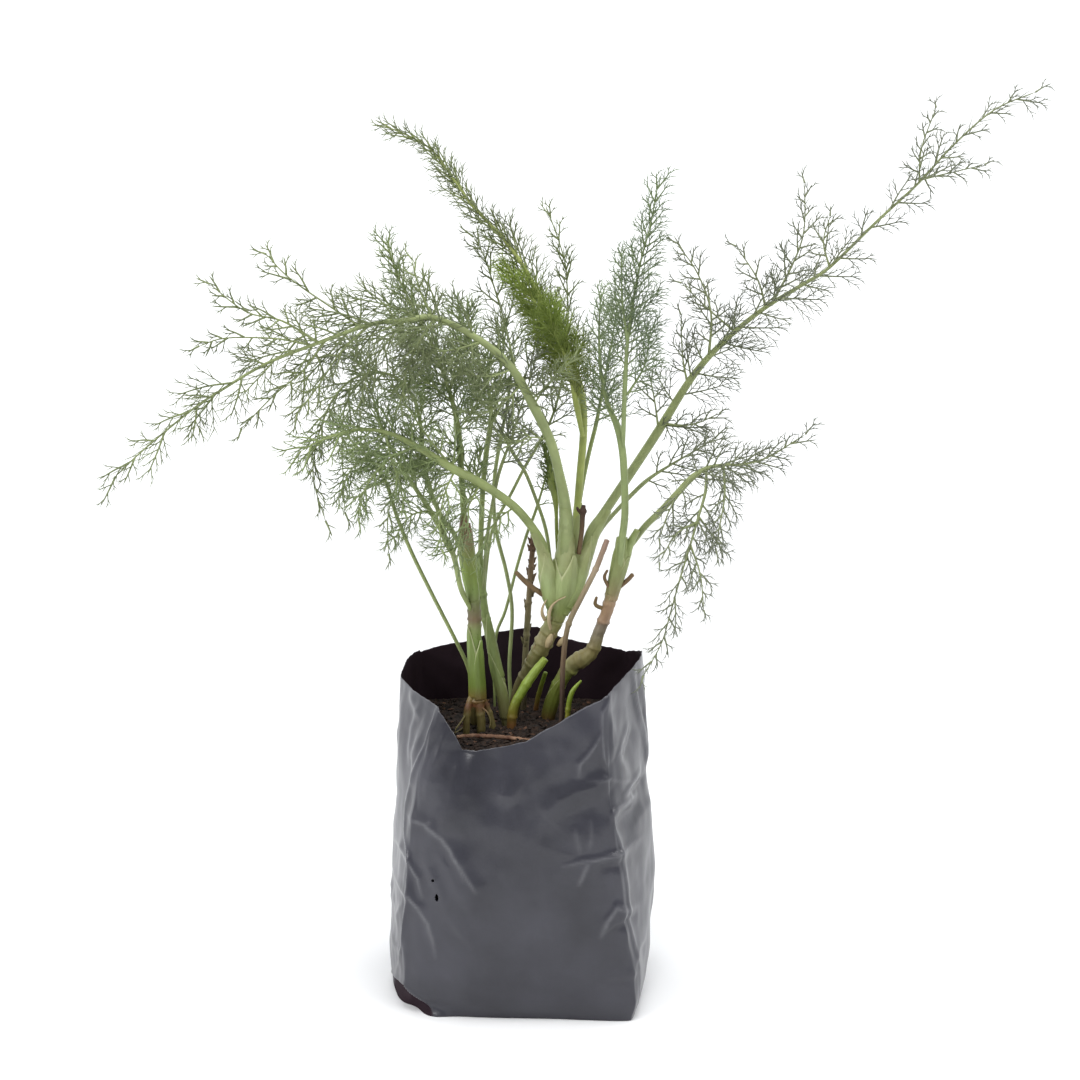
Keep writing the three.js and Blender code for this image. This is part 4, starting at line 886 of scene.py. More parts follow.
def stem_finish(name, stops, spots, roughness=0.45):
    """Colours by height in mm, darkened in long patches, pale at free edges, with fine ribs."""
    finish, tree, shader = new_finish(name, roughness)
    low, high = stops[0][0], stops[-1][0]
    level = use_group(tree, height_share, (-760, 200), Low=low * MM, High=high * MM)
    ramp = add_node(tree, "ShaderNodeValToRGB", (-580, 200))
    for i, (height, *colour) in enumerate(stops):
        share = (height - low) / (high - low)
        stop = ramp.color_ramp.elements[i] if i < 2 else ramp.color_ramp.elements.new(share)
        stop.position = share
        stop.color = (*colour, 1)
    border = add_node(tree, "ShaderNodeAttribute", (-580, -80), attribute_name="border")
    skin = use_group(tree, stem_skin, (-250, 150), Spots=(*spots, 1))
    wire(tree, (level, "Share", ramp, "Fac"), (ramp, "Color", skin, "Tint"), (border, "Fac", skin, "Border"),
         (skin, "Color", shader, "Base Color"))
    add_relief(tree, shader, 0.0006, 0.0004, 0.12)
    return finish


def wrap(name, finish, node, clasps):
    """The sheaths of a stem as one piece."""
    points, faces, border = gather(clasps)
    dress(make_piece(name, points, faces, finish, border=border), "green_stem", node)

# %% [markdown]
# The left clump is two stems. The thick one stands on prop roots with fine rootlets, and both are
# wrapped in sheaths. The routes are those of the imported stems, so that the fine pieces cover
# them, and rings sit where leaves were.

# %% Left stems
left_finish = stem_finish("left_stem_skin", [
    (134, 0.1, 0.075, 0.03), (156, 0.2, 0.17, 0.06), (161, 0.17, 0.07, 0.03), (166, 0.2, 0.16, 0.035),
    (172, 0.16, 0.23, 0.035), (196, 0.2, 0.29, 0.065), (202, 0.22, 0.27, 0.09), (207, 0.17, 0.12, 0.06),
    (214, 0.15, 0.16, 0.06), (222, 0.2, 0.28, 0.07), (232, 0.24, 0.34, 0.06), (243, 0.25, 0.3, 0.09),
    (248, 0.29, 0.25, 0.14), (255, 0.27, 0.18, 0.11), (259, 0.16, 0.085, 0.05),
    (264, 0.24, 0.31, 0.09)], (0.5, 0.48, 0.32))
LEFT_STEM = [[-23.5, -10, 160, 4.4], [-23.5, -10, 168, 4.2], [-24.5, -9, 190, 3.5], [-25, -8, 216, 3.3],
             [-27, -7, 230, 3.6], [-28.5, -7, 242, 3.6], [-29.5, -7, 252, 3.1], [-30, -6, 262, 1.8]]
LEFT_RINGS = [(163, 0.5, 0.9), (168, 0.3, 0.7), (203, 0.5, 0.7), (207, 0.6, 0.7), (211, 0.5, 0.7),
              (216, 0.6, 0.8), (229, 0.4, 0.9), (239, 0.5, 0.8)]
PROP_ROOTS = [
    [[-25, -11, 166, 1.9], [-27.5, -12.5, 162, 1.9], [-29, -14, 154, 1.8], [-29.5, -15, 134, 1.6]],
    [[-23, -11, 166, 2.2], [-22.5, -12.5, 162, 2.3], [-21.5, -14, 152, 2.2], [-21.5, -15, 134, 1.9]],
    [[-21.5, -9, 165, 1.6], [-19.5, -9.5, 161, 1.6], [-16, -10, 152, 1.4], [-12.5, -12, 134, 1.2]],
    [[-24, -7, 166, 2.3], [-24.5, -5, 162, 2.3], [-25, -3, 152, 2.2], [-26, 2, 134, 2]],
]
ROOTLETS = [
    [[-29, -14, 157, 0.5], [-32, -17, 153, 0.45], [-34.5, -19, 150, 0.35], [-35, -19.5, 148, 0.2]],
    [[-29.4, -13.5, 150, 0.5], [-33, -15, 147.5, 0.4], [-36, -16, 146.2, 0.25]],
    [[-21, -14, 160, 0.5], [-18, -16.5, 158, 0.45], [-16.5, -18, 154, 0.35], [-17, -19, 150, 0.2]],
]
left = gather([shoot(LEFT_STEM, 26, 11, 0.035, LEFT_RINGS),
               *[shoot(r, 14, 5, 0.06, [(156, 0.25, 0.7), (148, 0.2, 0.7)]) for r in PROP_ROOTS],
               *[shoot(r, 8) for r in ROOTLETS], scales(LEFT_STEM[2:5], 16, 31, (2, 4), 0.35)])
dress(make_piece("left_stem_skin", *left, left_finish), "green_stem", "left_stem")
wrap("left_stem_wraps", left_finish, "left_stem", [
    clasp(LEFT_STEM, 165, 203, 215, 200), clasp(LEFT_STEM, 164, 196, 320, 190, 0.9),
    clasp(LEFT_STEM, 217, 248, 240, 230, 0.8), clasp(LEFT_STEM, 228, 258, 330, 220, 0.9)])

SECOND_STEM = [[-7, -1, 133, 2.4], [-9.5, -1, 158, 2.9], [-14.5, 1, 181, 2.7], [-18.5, 3, 201, 2.4],
               [-21, 4, 214, 2.6], [-22, 5, 229, 3], [-22.5, 6, 238, 1.6]]
second_finish = stem_finish("second_stem_skin", [
    (133, 0.1, 0.08, 0.035), (156, 0.2, 0.2, 0.08), (175, 0.2, 0.26, 0.08), (229, 0.24, 0.32, 0.11)],
    (0.6, 0.55, 0.4))
second = shoot(SECOND_STEM, 20, 9, 0.04, [(170, 0.4, 0.9), (188, 0.35, 0.8), (203, 0.4, 0.8), (216, 0.5, 1)])
dress(make_piece("left_second_stem_skin", *second, second_finish), "green_stem", "left_second_stem")
wrap("second_stem_wraps", second_finish, "left_second_stem",
     [clasp(SECOND_STEM, 150, 186, 230, 240, 0.5), clasp(SECOND_STEM, 172, 206, 300, 230, 0.5)])

# %% [markdown]
# The middle stem is the stoutest. Its sheaths clasp each other like the layers of an onion and
# run out into the leaf stalks, so its lobes get fine ribs, pale free edges and long tips. Below
# them sit old rings, papery bands and small buds.

# %% Middle stem
MIDDLE_STEM = [[-7, 12, 133, 2.6], [-2.5, 10, 160, 3.2], [4, 6, 175, 3.8], [10, 2, 188, 4.6],
               [15, 0, 199, 4.6], [18, 0, 207, 4.8], [19.5, 0, 214, 6.4], [21.2, 0, 222, 7.6],
               [22.2, -0.5, 231, 6.6], [22.8, -2, 243, 4.9], [22.7, -5, 255, 3.7], [22, -8.5, 268, 2.8]]
LEFT_LOBE = [[19, 0, 208, 4.5], [16, -1, 218, 5.8], [13.5, -3, 228, 4.9], [12, -6.5, 238, 3.7],
             [9.5, -10, 247, 2.8], [6, -14, 256, 2.1]]
RIGHT_LOBE = [[20, 0, 208, 4.5], [25.5, 1, 219, 6], [30, 3, 229, 4.9], [34, 5, 239, 3.8], [38.5, 8, 250, 3],
              [45, 12, 261, 2.4]]
INNER_LOBE = [[22, 0, 214, 5], [25, 1.5, 226, 5], [27, 3.5, 238, 3.9], [28, 5, 250, 3], [29.5, 7.5, 266, 2.1]]
MIDDLE_RINGS = [(170, 0.5, 0.9), (178, 0.7, 0.9), (186, 0.5, 0.8), (191, 0.6, 0.8), (197, 0.5, 0.8),
                (203, 0.5, 0.7)]
middle_finish = stem_finish("middle_stem_skin", [
    (133, 0.09, 0.06, 0.03), (160, 0.13, 0.11, 0.04), (172, 0.19, 0.17, 0.07), (184, 0.24, 0.23, 0.09),
    (194, 0.3, 0.27, 0.13), (203, 0.27, 0.28, 0.1), (210, 0.26, 0.33, 0.1), (226, 0.34, 0.42, 0.18),
    (240, 0.43, 0.48, 0.24), (252, 0.36, 0.42, 0.19), (268, 0.28, 0.335, 0.13)], (0.55, 0.52, 0.38))
middle = gather([shoot(MIDDLE_STEM, 40, 19, 0.022, MIDDLE_RINGS), shoot(LEFT_LOBE, 32, 13, 0.03),
                 shoot(RIGHT_LOBE, 32, 13, 0.03), shoot(INNER_LOBE, 28, 11, 0.03)])
dress(make_piece("middle_stem_skin", *middle, middle_finish), "green_stem", "middle_stem")
wrap("middle_stem_wraps", middle_finish, "middle_stem", [
    clasp(MIDDLE_STEM, 206, 238, 205, 210, 0.5), clasp(MIDDLE_STEM, 204, 241, 318, 200, 0.7),
    clasp(RIGHT_LOBE, 212, 247, 250, 200, 0.4), clasp(LEFT_LOBE, 211, 244, 290, 190, 0.4)])

# %% [markdown]
# What has dried on the middle stem is straw coloured or brown: scales, small buds and two stubs.
# They are pieces of their own, because dry skin has another colour and less sheen.

# %% Dry parts of the middle stem
BUDS = [
    [[13, -3.5, 190, 1.2], [14, -5, 193, 1.8], [15, -5.6, 196, 1.3], [15.5, -5.8, 198, 0.4]],
    [[19, -3.5, 191, 1.1], [20.5, -5, 193, 1.6], [22, -5.5, 195.5, 1.1], [23, -5.8, 197, 0.4]],
    [[12, -5, 205, 0.9], [10.5, -6, 209, 0.9], [11, -6.3, 213, 0.6], [13, -6.6, 217, 0.3]],
    [[15, -4.8, 200, 0.8], [14, -6, 206, 1.0], [15, -6.5, 212, 0.8], [18, -7.6, 216, 0.4],
     [23, -8.5, 219, 0.3]],
]
straw_finish = stem_finish("straw_scales", [
    (165, 0.22, 0.15, 0.07), (190, 0.42, 0.34, 0.19), (215, 0.5, 0.42, 0.26)], (0.6, 0.5, 0.4), 0.7)
straw = gather([scales(MIDDLE_STEM[2:6], 26, 33, (2.5, 5), 0.28), *[shoot(r, 10, 4, 0.06) for r in BUDS]])
dress(make_piece("middle_stem_straw", *straw, straw_finish), "dry_stem", "middle_stem")

BROWN_STUB = [[14, -2, 216, 1.4], [4, -5, 224, 1.3], [-3.5, -7, 232, 1.1]]
KNOBBED_STUB = [[29.5, -1, 240, 1.2], [31, -3, 252, 1.2], [31.5, -4, 262, 1.3], [32, -4, 267, 1.0]]
KNOB_TWIG = [[30.5, -3.5, 262, 0.8], [29, -4, 264.5, 0.8], [28.5, -4, 266, 0.4]]
dry_finish = stem_finish("dry_stub_skin", [
    (133, 0.09, 0.05, 0.03), (180, 0.14, 0.09, 0.045), (214, 0.24, 0.17, 0.07), (226, 0.2, 0.13, 0.06),
    (250, 0.14, 0.09, 0.04), (267, 0.07, 0.035, 0.025)], (0.5, 0.4, 0.35), 0.7)
stubs = gather([shoot(BROWN_STUB, 14, 5, 0.09), shoot(KNOBBED_STUB, 14, 5, 0.08, [(263.5, 0.8, 1.3)]),
                shoot(KNOB_TWIG, 8)])
dress(make_piece("middle_stem_stubs", *stubs, dry_finish), "dry_stem", "middle_stem")

# %% [markdown]
# The right stem has a knuckle, then a grey brown and an orange brown length, and forks at its
# green top. Three dry stubs are left where leaves broke off.

# %% Right stem
RIGHT_STEM = [[10.5, 8, 132, 3], [15.5, 7, 155, 3.7], [20, 5, 167.5, 3.5], [26.5, 3, 178, 4.3],
              [32.5, 1, 182.5, 4.4], [37, 0, 187, 3.7], [40, -1, 196, 3.2], [44, -2, 207.5, 3.1],
              [47.5, -3, 221, 3.3], [50, -4, 232, 3.9], [51.5, -4, 240, 4], [52, -4, 250, 2.8]]
FORK = [[50.5, -4, 228, 2.6], [53.5, -4, 238, 2.7], [56, -4, 246, 2.1], [60, -4.5, 254, 1.6]]
RIGHT_STUBS = [[[50, -3, 222, 1.3], [55, -4, 226.5, 1.2], [58, -4, 230, 1.1]],
               [[47, -4, 220, 1.1], [43, -6, 228, 0.9], [44.5, -7, 233, 0.6]],
               [[44, -2, 210, 1.2], [38.5, -4, 213, 1], [39, -5, 218, 0.7]]]
RIGHT_RINGS = [(166, 0.5, 1), (176, 0.6, 0.9), (181, 0.5, 0.7), (189, 0.4, 0.8), (203.5, 0.5, 0.6),
               (213, 0.3, 0.8), (218, 0.4, 0.8)]
right_finish = stem_finish("right_stem_skin", [
    (132, 0.1, 0.05, 0.02), (147, 0.16, 0.1, 0.03), (155, 0.18, 0.22, 0.035), (170, 0.23, 0.3, 0.05),
    (178, 0.3, 0.29, 0.12), (188, 0.26, 0.23, 0.09), (197, 0.19, 0.16, 0.1), (202, 0.2, 0.16, 0.11),
    (204, 0.31, 0.2, 0.12), (214, 0.34, 0.23, 0.13), (220, 0.24, 0.22, 0.09), (230, 0.25, 0.3, 0.11),
    (250, 0.28, 0.35, 0.13)], (0.6, 0.52, 0.4))
right = gather([shoot(RIGHT_STEM, 26, 9, 0.035, RIGHT_RINGS), shoot(FORK, 18, 7, 0.03)])
dress(make_piece("right_stem_skin", *right, right_finish), "green_stem", "right_stem")
wrap("right_stem_wraps", right_finish, "right_stem", [
    clasp(RIGHT_STEM, 219, 247, 235, 210, 0.4), clasp(RIGHT_STEM, 216, 240, 330, 200, 0.5),
    clasp(RIGHT_STEM, 140, 172, 260, 200, 0.5)])
stubs = gather([shoot(r, 12, 5, 0.1) for r in RIGHT_STUBS])
dress(make_piece("right_stem_stubs", *stubs, dry_finish), "dry_stem", "right_stem")

# %% [markdown]
# Dry pieces: an old reddish stem with tufts, a stick that was cut short, and a twig on the soil.
# The twig's heights come from the soil's own rule, so it follows the clods it lies on.

# %% Dry stems
OLD_STEM = [[0, 24, 133, 1.6], [1.5, 24, 175, 1.6], [3.5, 24, 208, 1.5], [5, 24, 230, 1.4], [6, 24, 244, 1.5]]
old_finish = stem_finish("old_stem_skin", [
    (133, 0.07, 0.05, 0.03), (165, 0.15, 0.13, 0.06), (195, 0.19, 0.17, 0.08), (222, 0.19, 0.13, 0.075),
    (244, 0.17, 0.085, 0.055)], (0.5, 0.5, 0.45), 0.75)
old = gather([shoot(OLD_STEM, 14, 5, 0.08, [(188, 0.4, 0.8), (206, 0.5, 0.8), (226, 0.4, 0.8)]),
              scales(OLD_STEM[1:], 34, 35, (2.5, 5), 0.45)])
dress(make_piece("old_stem_skin", *old, old_finish), "dry_stem", "old_stem")

CUT_STALK = [[20, -12, 133, 1.4], [21, -12, 163, 1.4], [21.5, -13, 185, 1.4], [24, -15, 205, 1.4],
             [30.5, -16, 220, 1.4], [38, -17, 236, 1.4], [44, -17, 252, 1.4]]
cut_finish = stem_finish("cut_stalk_skin", [
    (133, 0.05, 0.03, 0.02), (172, 0.09, 0.055, 0.035), (188, 0.2, 0.14, 0.08), (205, 0.26, 0.22, 0.12),
    (230, 0.33, 0.27, 0.17), (252, 0.3, 0.2, 0.15)], (0.6, 0.5, 0.45), 0.65)
cut = shoot(CUT_STALK, 16, 6, 0.06, [(206, 0.35, 0.9), (236, 0.3, 0.8)])
dress(make_piece("cut_stalk_skin", *cut, cut_finish), "dry_stem", "cut_stalk")

# x, y and radius of the twig, which rests on the soil
TWIG = [[-34, -20, 1], [-25, -21, 1.2], [-13, -22, 1.2], [-3, -24, 1.1], [6, -27, 0.8]]
TWIG_SINKS = 0.2
twig_finish = mottled_finish("twig_bark", 0.8, (0.09, 0.03, 0.015), (0.4, 0.24, 0.15), 0.004, 0.5,
                             0.0006, 0.0003)
twig_route = [[x, y, float(soil_height(x, y)) + r - TWIG_SINKS, r] for x, y, r in TWIG]
twig = shoot(twig_route, 14, 5, 0.1, rough=0.12)
dress(make_piece("dry_twig_bark", *twig, twig_finish), "dry_stem", "dry_twig")

# %% [markdown]
# Young side shoots come up at the foot of the stems, brown in the soil and lime green above it.
# They differ only in route and rings, so one table and one loop make them.

# %% Lime shoots
# route, and its one or two rings
LIME_SHOOTS = {
    "lime_shoot": ([[-6, -8, 133, 2.4], [-5, -8, 155, 2.5], [0, -8, 167, 2.5], [7, -8, 178, 2.4],
                    [12.5, -7.5, 185, 1.8]], [(153, 0.4, 0.8), (171, 0.3, 0.9)]),
    "back_shoot": ([[5, 22, 133, 1.3], [8.5, 19, 155, 1.3], [12.5, 16, 170, 1.1]], [(157, 0.2, 0.6)]),
    "small_sprout": ([[23, -18, 133, 1.3], [24, -17, 158, 1.4], [26, -17, 169, 1.3], [31, -17, 176, 0.6]],
                     [(160, 0.25, 0.6)]),
}
lime_finish = stem_finish("lime_shoot_skin", [
    (133, 0.1, 0.045, 0.02), (149, 0.19, 0.09, 0.03), (156, 0.22, 0.2, 0.03), (166, 0.22, 0.31, 0.035),
    (185, 0.27, 0.36, 0.06)], (0.7, 0.7, 0.4), 0.4)
for name, (route, rings) in LIME_SHOOTS.items():
    dress(make_piece(name + "_skin", *shoot(route, 20, 7, 0.03, rings), lime_finish), "lime_shoot", name)

# %% [markdown]
# ## Fronds
# A fennel leaf divides four times: the rib carries pinnae, they carry pinnules, and those carry
# the threads one sees. The route of each rib is read off the plant. The pinnae follow the same
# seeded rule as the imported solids, so both stand in the same place, and the finer levels are
# sprouted all at once with arrays.

# %% Seeded numbers
def draw(*keys):
    """A number from 0 to 1 that is always the same for the same whole numbers."""
    state = 2166136261
    for key in keys:
        state = ((state ^ key) * 16777619) & 0xFFFFFFFF
    for shift, factor in ((15, 2246822519), (13, 3266489917)):
        state = ((state ^ (state >> shift)) * factor) & 0xFFFFFFFF
    return (state ^ (state >> 16)) / 4294967296

# %% [markdown]
# A rib is a route with a radius. A stalk is stout up to where its blade starts and then thins
# out fast; some stalks are swollen where they leave the stem.

# %% Ribs
# Fronds are flat, and most face the viewer and a little up
FACING = unit(np.array([0, -1, 0.2]))
THINNEST = 0.28
# Stalks are thicker than this, side ribs thinner
STALK = 1.5


def rib(thick, pairs, reach, route, start=0, swell=0.0, bulge=0.0, lean=1.0):
    """Radius at the foot, pairs of pinnae and their reach, the route, and the route point where
    the blade starts. A swollen foot, a bulge and a closer lean are for single stalks."""
    route = np.array(route, float)
    return {"thick": thick, "pairs": pairs, "reach": reach, "route": route, "start": start,
            "last": len(route) - 1, "swell": swell, "bulge": bulge, "lean": lean}


def blade_share(r, place):
    """How far along the blade a place of the route is."""
    return (place - r["start"]) / (r["last"] - r["start"])


def rib_radius(r, place):
    """The stalk's radius at a place along its route: swollen at the foot, thin at the tip."""
    blade = np.maximum(0, blade_share(r, place))
    even = THINNEST + (r["thick"] - THINNEST) * (0.5 * np.exp(-4 * blade) + 0.5 * (1 - blade))
    foot = 0.7 + 0.3 * np.minimum(1, place / 0.8) if r["start"] else 1
    return (even * foot + r["swell"] * np.maximum(0, 1 - np.abs(place - 1) / 2)
            + r["bulge"] * np.maximum(0, 1 - np.abs(place - 3) / 1.5))


def line_at(route, place):
    """Point and direction on the smooth line through a route."""
    p = np.vstack([2 * route[0] - route[1], route, 2 * route[-1] - route[-2]])
    i = min(int(place), len(route) - 2)
    w = place - i
    a, b, c, d = p[i:i + 4]
    m, n = (c - a) / 2, (d - b) / 2
    lean = (b * (6 * w**2 - 6 * w) + c * (6 * w - 6 * w**2) + m * (3 * w**2 - 4 * w + 1)
            + n * (3 * w**2 - 2 * w))
    return bend(b, c, m, n, w), unit(lean)

# %% [markdown]
# Pinnae stand off the rib at an open angle near its foot and a closer one near its tip, and get
# shorter on the way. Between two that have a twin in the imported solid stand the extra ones.

# %% Pinnae
# Degrees: the angle at the foot, what it loses up to the tip, and its play
OPEN, CLOSES, PLAY = 62, 24, 14
# Degrees by which the pinnae of either kind are rolled out of the leaf's plane
TWIN_ROLL, EXTRA_ROLL = 80, 140


def pinna(r, place, side, keys, longer, closer, rolled):
    """Seven points of one pinna, from inside the rib to its sagging tip."""
    share = blade_share(r, place)
    root, along = line_at(r["route"], place)
    across = unit(np.cross(along, FACING))
    angle = math.radians(OPEN - CLOSES * share + PLAY * (draw(*keys, 1) - 0.5)) * r["lean"] * closer
    roll = (0 if side > 0 else math.pi) + math.radians(rolled * (draw(*keys, 2) - 0.5))
    length = r["reach"] * (1 - 0.6 * share**1.3) * (0.75 + 0.4 * draw(*keys, 3)) * longer
    beside = unit(np.cross(along, across))
    out = across * math.cos(roll) + beside * math.sin(roll)
    way = along * math.cos(angle) + out * math.sin(angle)
    middle = root + way * length / 2 - [0, 0, length * 0.025]
    tip = root + way * length + along * length * 0.12 - [0, 0, length * 0.1]
    return smooth_line([root, middle, tip], 6)


def pinnae_of(leaf_data):
    """All pinnae of a leaf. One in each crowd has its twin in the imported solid."""
    made, style = [], leaf_data["style"]
    crowd = style["crowd"]
    for i, r in enumerate(leaf_data["ribs"]):
        for k in range(crowd * r["pairs"]):
            for side in (1, -1):
                stagger = 0.1 if side > 0 else 0.45
                place = r["start"] + (r["last"] - r["start"]) * (k / crowd + stagger) / r["pairs"]
                if place < r["last"] - 0.02:
                    twin = k % crowd == 0
                    keys = (leaf_data["seed"], i, k // crowd if twin else 100 + k, side + 1)
                    more = (*style["twin"], TWIN_ROLL) if twin else (*style["extra"], EXTRA_ROLL)
                    made.append(pinna(r, place, side, keys, *more))
    return np.array(made)

# %% [markdown]
# The same `sprout` makes pinnules from pinnae and threads from pinnules. The young line leaves
# its parent at an acute angle and bends forward, longest near the foot of the parent.

# %% Sprouting
def sprout(parents, rng, spacing, share, lengths, angles, points):
    """Pairs of finer lines all along the parents: (N, K, 3) in, (M, points, 3) out."""
    pieces = np.linalg.norm(np.diff(parents, axis=1), axis=2)
    total = pieces.sum(1)
    counts = (total / spacing + rng.uniform(0, 0.7, len(parents))).astype(int)
    owner = np.repeat(np.arange(len(parents)), counts)
    order = np.arange(len(owner)) - np.repeat(np.cumsum(counts) - counts, counts)
    owner, order = np.repeat(owner, 2), np.repeat(order, 2)
    side = np.tile([1.0, -1.0], len(owner) // 2)
    t = (order + 0.55 + 0.3 * side * 0.5 + rng.uniform(-0.12, 0.12, len(owner))) / counts[owner]
    t = np.clip(0.06 + 0.82 * t, 0.05, 0.88)
    place = t * (parents.shape[1] - 1)
    i = np.minimum(place.astype(int), parents.shape[1] - 2)
    w = (place - i)[:, None]
    a, b = parents[owner, i], parents[owner, i + 1]
    root, along = a + (b - a) * w, unit(b - a)
    across = unit(np.cross(along, FACING + 1e-3))
    beside = np.cross(along, across)
    tilt = np.radians(rng.normal(0, 28, len(owner)))
    out = side[:, None] * (across * np.cos(tilt)[:, None] + beside * np.sin(tilt)[:, None])
    angle = np.radians(angles[0] + (angles[1] - angles[0]) * t + rng.normal(0, 5, len(owner)))
    way = along * np.cos(angle)[:, None] + out * np.sin(angle)[:, None]
    length = np.clip(total[owner] * share * (1.15 - 0.72 * t) * rng.uniform(0.7, 1.3, len(owner)), *lengths)
    s = np.linspace(0, 1, points)[None, :, None]
    size = length[:, None, None]
    return (root[:, None] + way[:, None] * size * s + along[:, None] * size * 0.06 * s**2
            - np.array([0, 0, 0.03]) * size * s**2)

# %% [markdown]
# A leaf is its ribs and three levels of round lines. Each point carries a mark for how fine the
# part is, from 0 at the stalk's foot to 1 at a thread's tip, which the finish reads.

# %% A whole frond
def tubes(lines, foot, tip, sides, fine):
    """Round lines with an even taper, and how fine each level is as a mark."""
    radii = np.broadcast_to(np.linspace(foot, tip, lines.shape[1]), lines.shape[:2])
    marks = np.append(np.repeat(np.linspace(*fine, lines.shape[1])[:-1], sides), fine[1])
    return *round_lines(lines, radii, sides), np.tile(marks, len(lines))


def rib_tube(r):
    """A rib with its ridges, and how fine it is."""
    steps = 5 * r["last"]
    place = np.linspace(0, r["last"], steps + 1)
    sides = 12 if r["thick"] > STALK else 7
    ridges = 1 + 0.05 * np.cos(5 * np.arange(sides) * 2 * math.pi / sides)
    radii = rib_radius(r, place)[:, None] * ridges[None]
    fine = np.clip(blade_share(r, place), 0, 1) * 0.5
    fine = fine if r["thick"] > STALK else 0.25 + 0.6 * fine
    lines = smooth_line(r["route"], steps)[None]
    return *round_lines(lines, radii[None], sides), np.append(np.repeat(fine[:-1], sides), fine[-1])


def frond(leaf_data, coarser):
    """Points, faces and fineness of a whole leaf."""
    rng = np.random.default_rng(leaf_data["seed"])
    ribs, style = leaf_data["ribs"], leaf_data["style"]
    pinnule_gap, thread_gap = (gap * coarser for gap in style["gaps"])
    pinnule, thread = style["longest"]
    pinnae = pinnae_of(leaf_data)
    pinnules = sprout(pinnae, rng, pinnule_gap, 0.54, (5, pinnule), (45, 26), 4)
    threads = sprout(pinnules, rng, thread_gap, 0.6, (4, thread), (35, 22), 3)
    ends = np.array([smooth_line(r["route"], 30)[-7:] for r in ribs])
    threads = np.concatenate([threads, sprout(ends, rng, thread_gap, 0.3, (4, thread), (32, 18), 3)])
    wide = style["wide"]
    return gather([*[rib_tube(r) for r in ribs],
                   tubes(pinnae, 0.46 * wide, 0.22 * wide, 4, (0.45, 0.8)),
                   tubes(pinnules, 0.29 * wide, 0.14 * wide, 3, (0.6, 0.95)),
                   tubes(threads, 0.22 * wide, 0.07 * wide, 3, (0.75, 1))])

# %% [markdown]
# Leaves differ in age. Old ones are airy, with few long threads; the mass on the left is lush,
# and the youngest leaf is still packed tight.

# %% How full each leaf is
def fullness(crowd, gaps, longest, twin=(1.0, 1.0), extra=(1.0, 0.85), wide=1.0):
    """Pinnae per packed one, gaps and longest of pinnules and threads, and for both kinds of
    pinnae their share of length and of angle."""
    return {"crowd": crowd, "gaps": gaps, "longest": longest, "twin": twin, "extra": extra, "wide": wide}


AIRY = fullness(2, (7.0, 6.0), (19, 12), extra=(1.4, 0.66), wide=1.25)
SPARSE = fullness(2, (7.0, 6.0), (16, 10), extra=(1.15, 0.7), wide=1.25)
TWIGGY = fullness(2, (6.5, 5.6), (18, 11), extra=(1.4, 0.72), wide=1.15)
SWEPT = fullness(3, (6.6, 5.6), (16, 11), extra=(1.35, 0.6), wide=1.1)
LUSH = fullness(3, (5.4, 4.6), (15, 10), extra=(1.15, 0.9))
PLUME = fullness(4, (5.2, 4.4), (15, 10), twin=(1.0, 0.8), extra=(1.1, 0.68), wide=1.05)
MASS = fullness(4, (5.6, 4.8), (17, 11), extra=(1.25, 0.95))
BROAD = fullness(3, (5.0, 4.4), (16, 10), twin=(1.1, 0.8), extra=(1.2, 0.74))
FULL = fullness(4, (4.2, 3.3), (11, 8), extra=(1.25, 0.8), wide=1.05)


def leaf(seed, colour, style, ribs):
    """All that one leaf needs."""
    return {"seed": seed, "colour": colour, "style": style, "ribs": ribs}

# %% [markdown]
# Each leaf is a stalk and the side ribs that can be told apart. On the left, short ribs hang in
# front of their stalks and fill the mass.

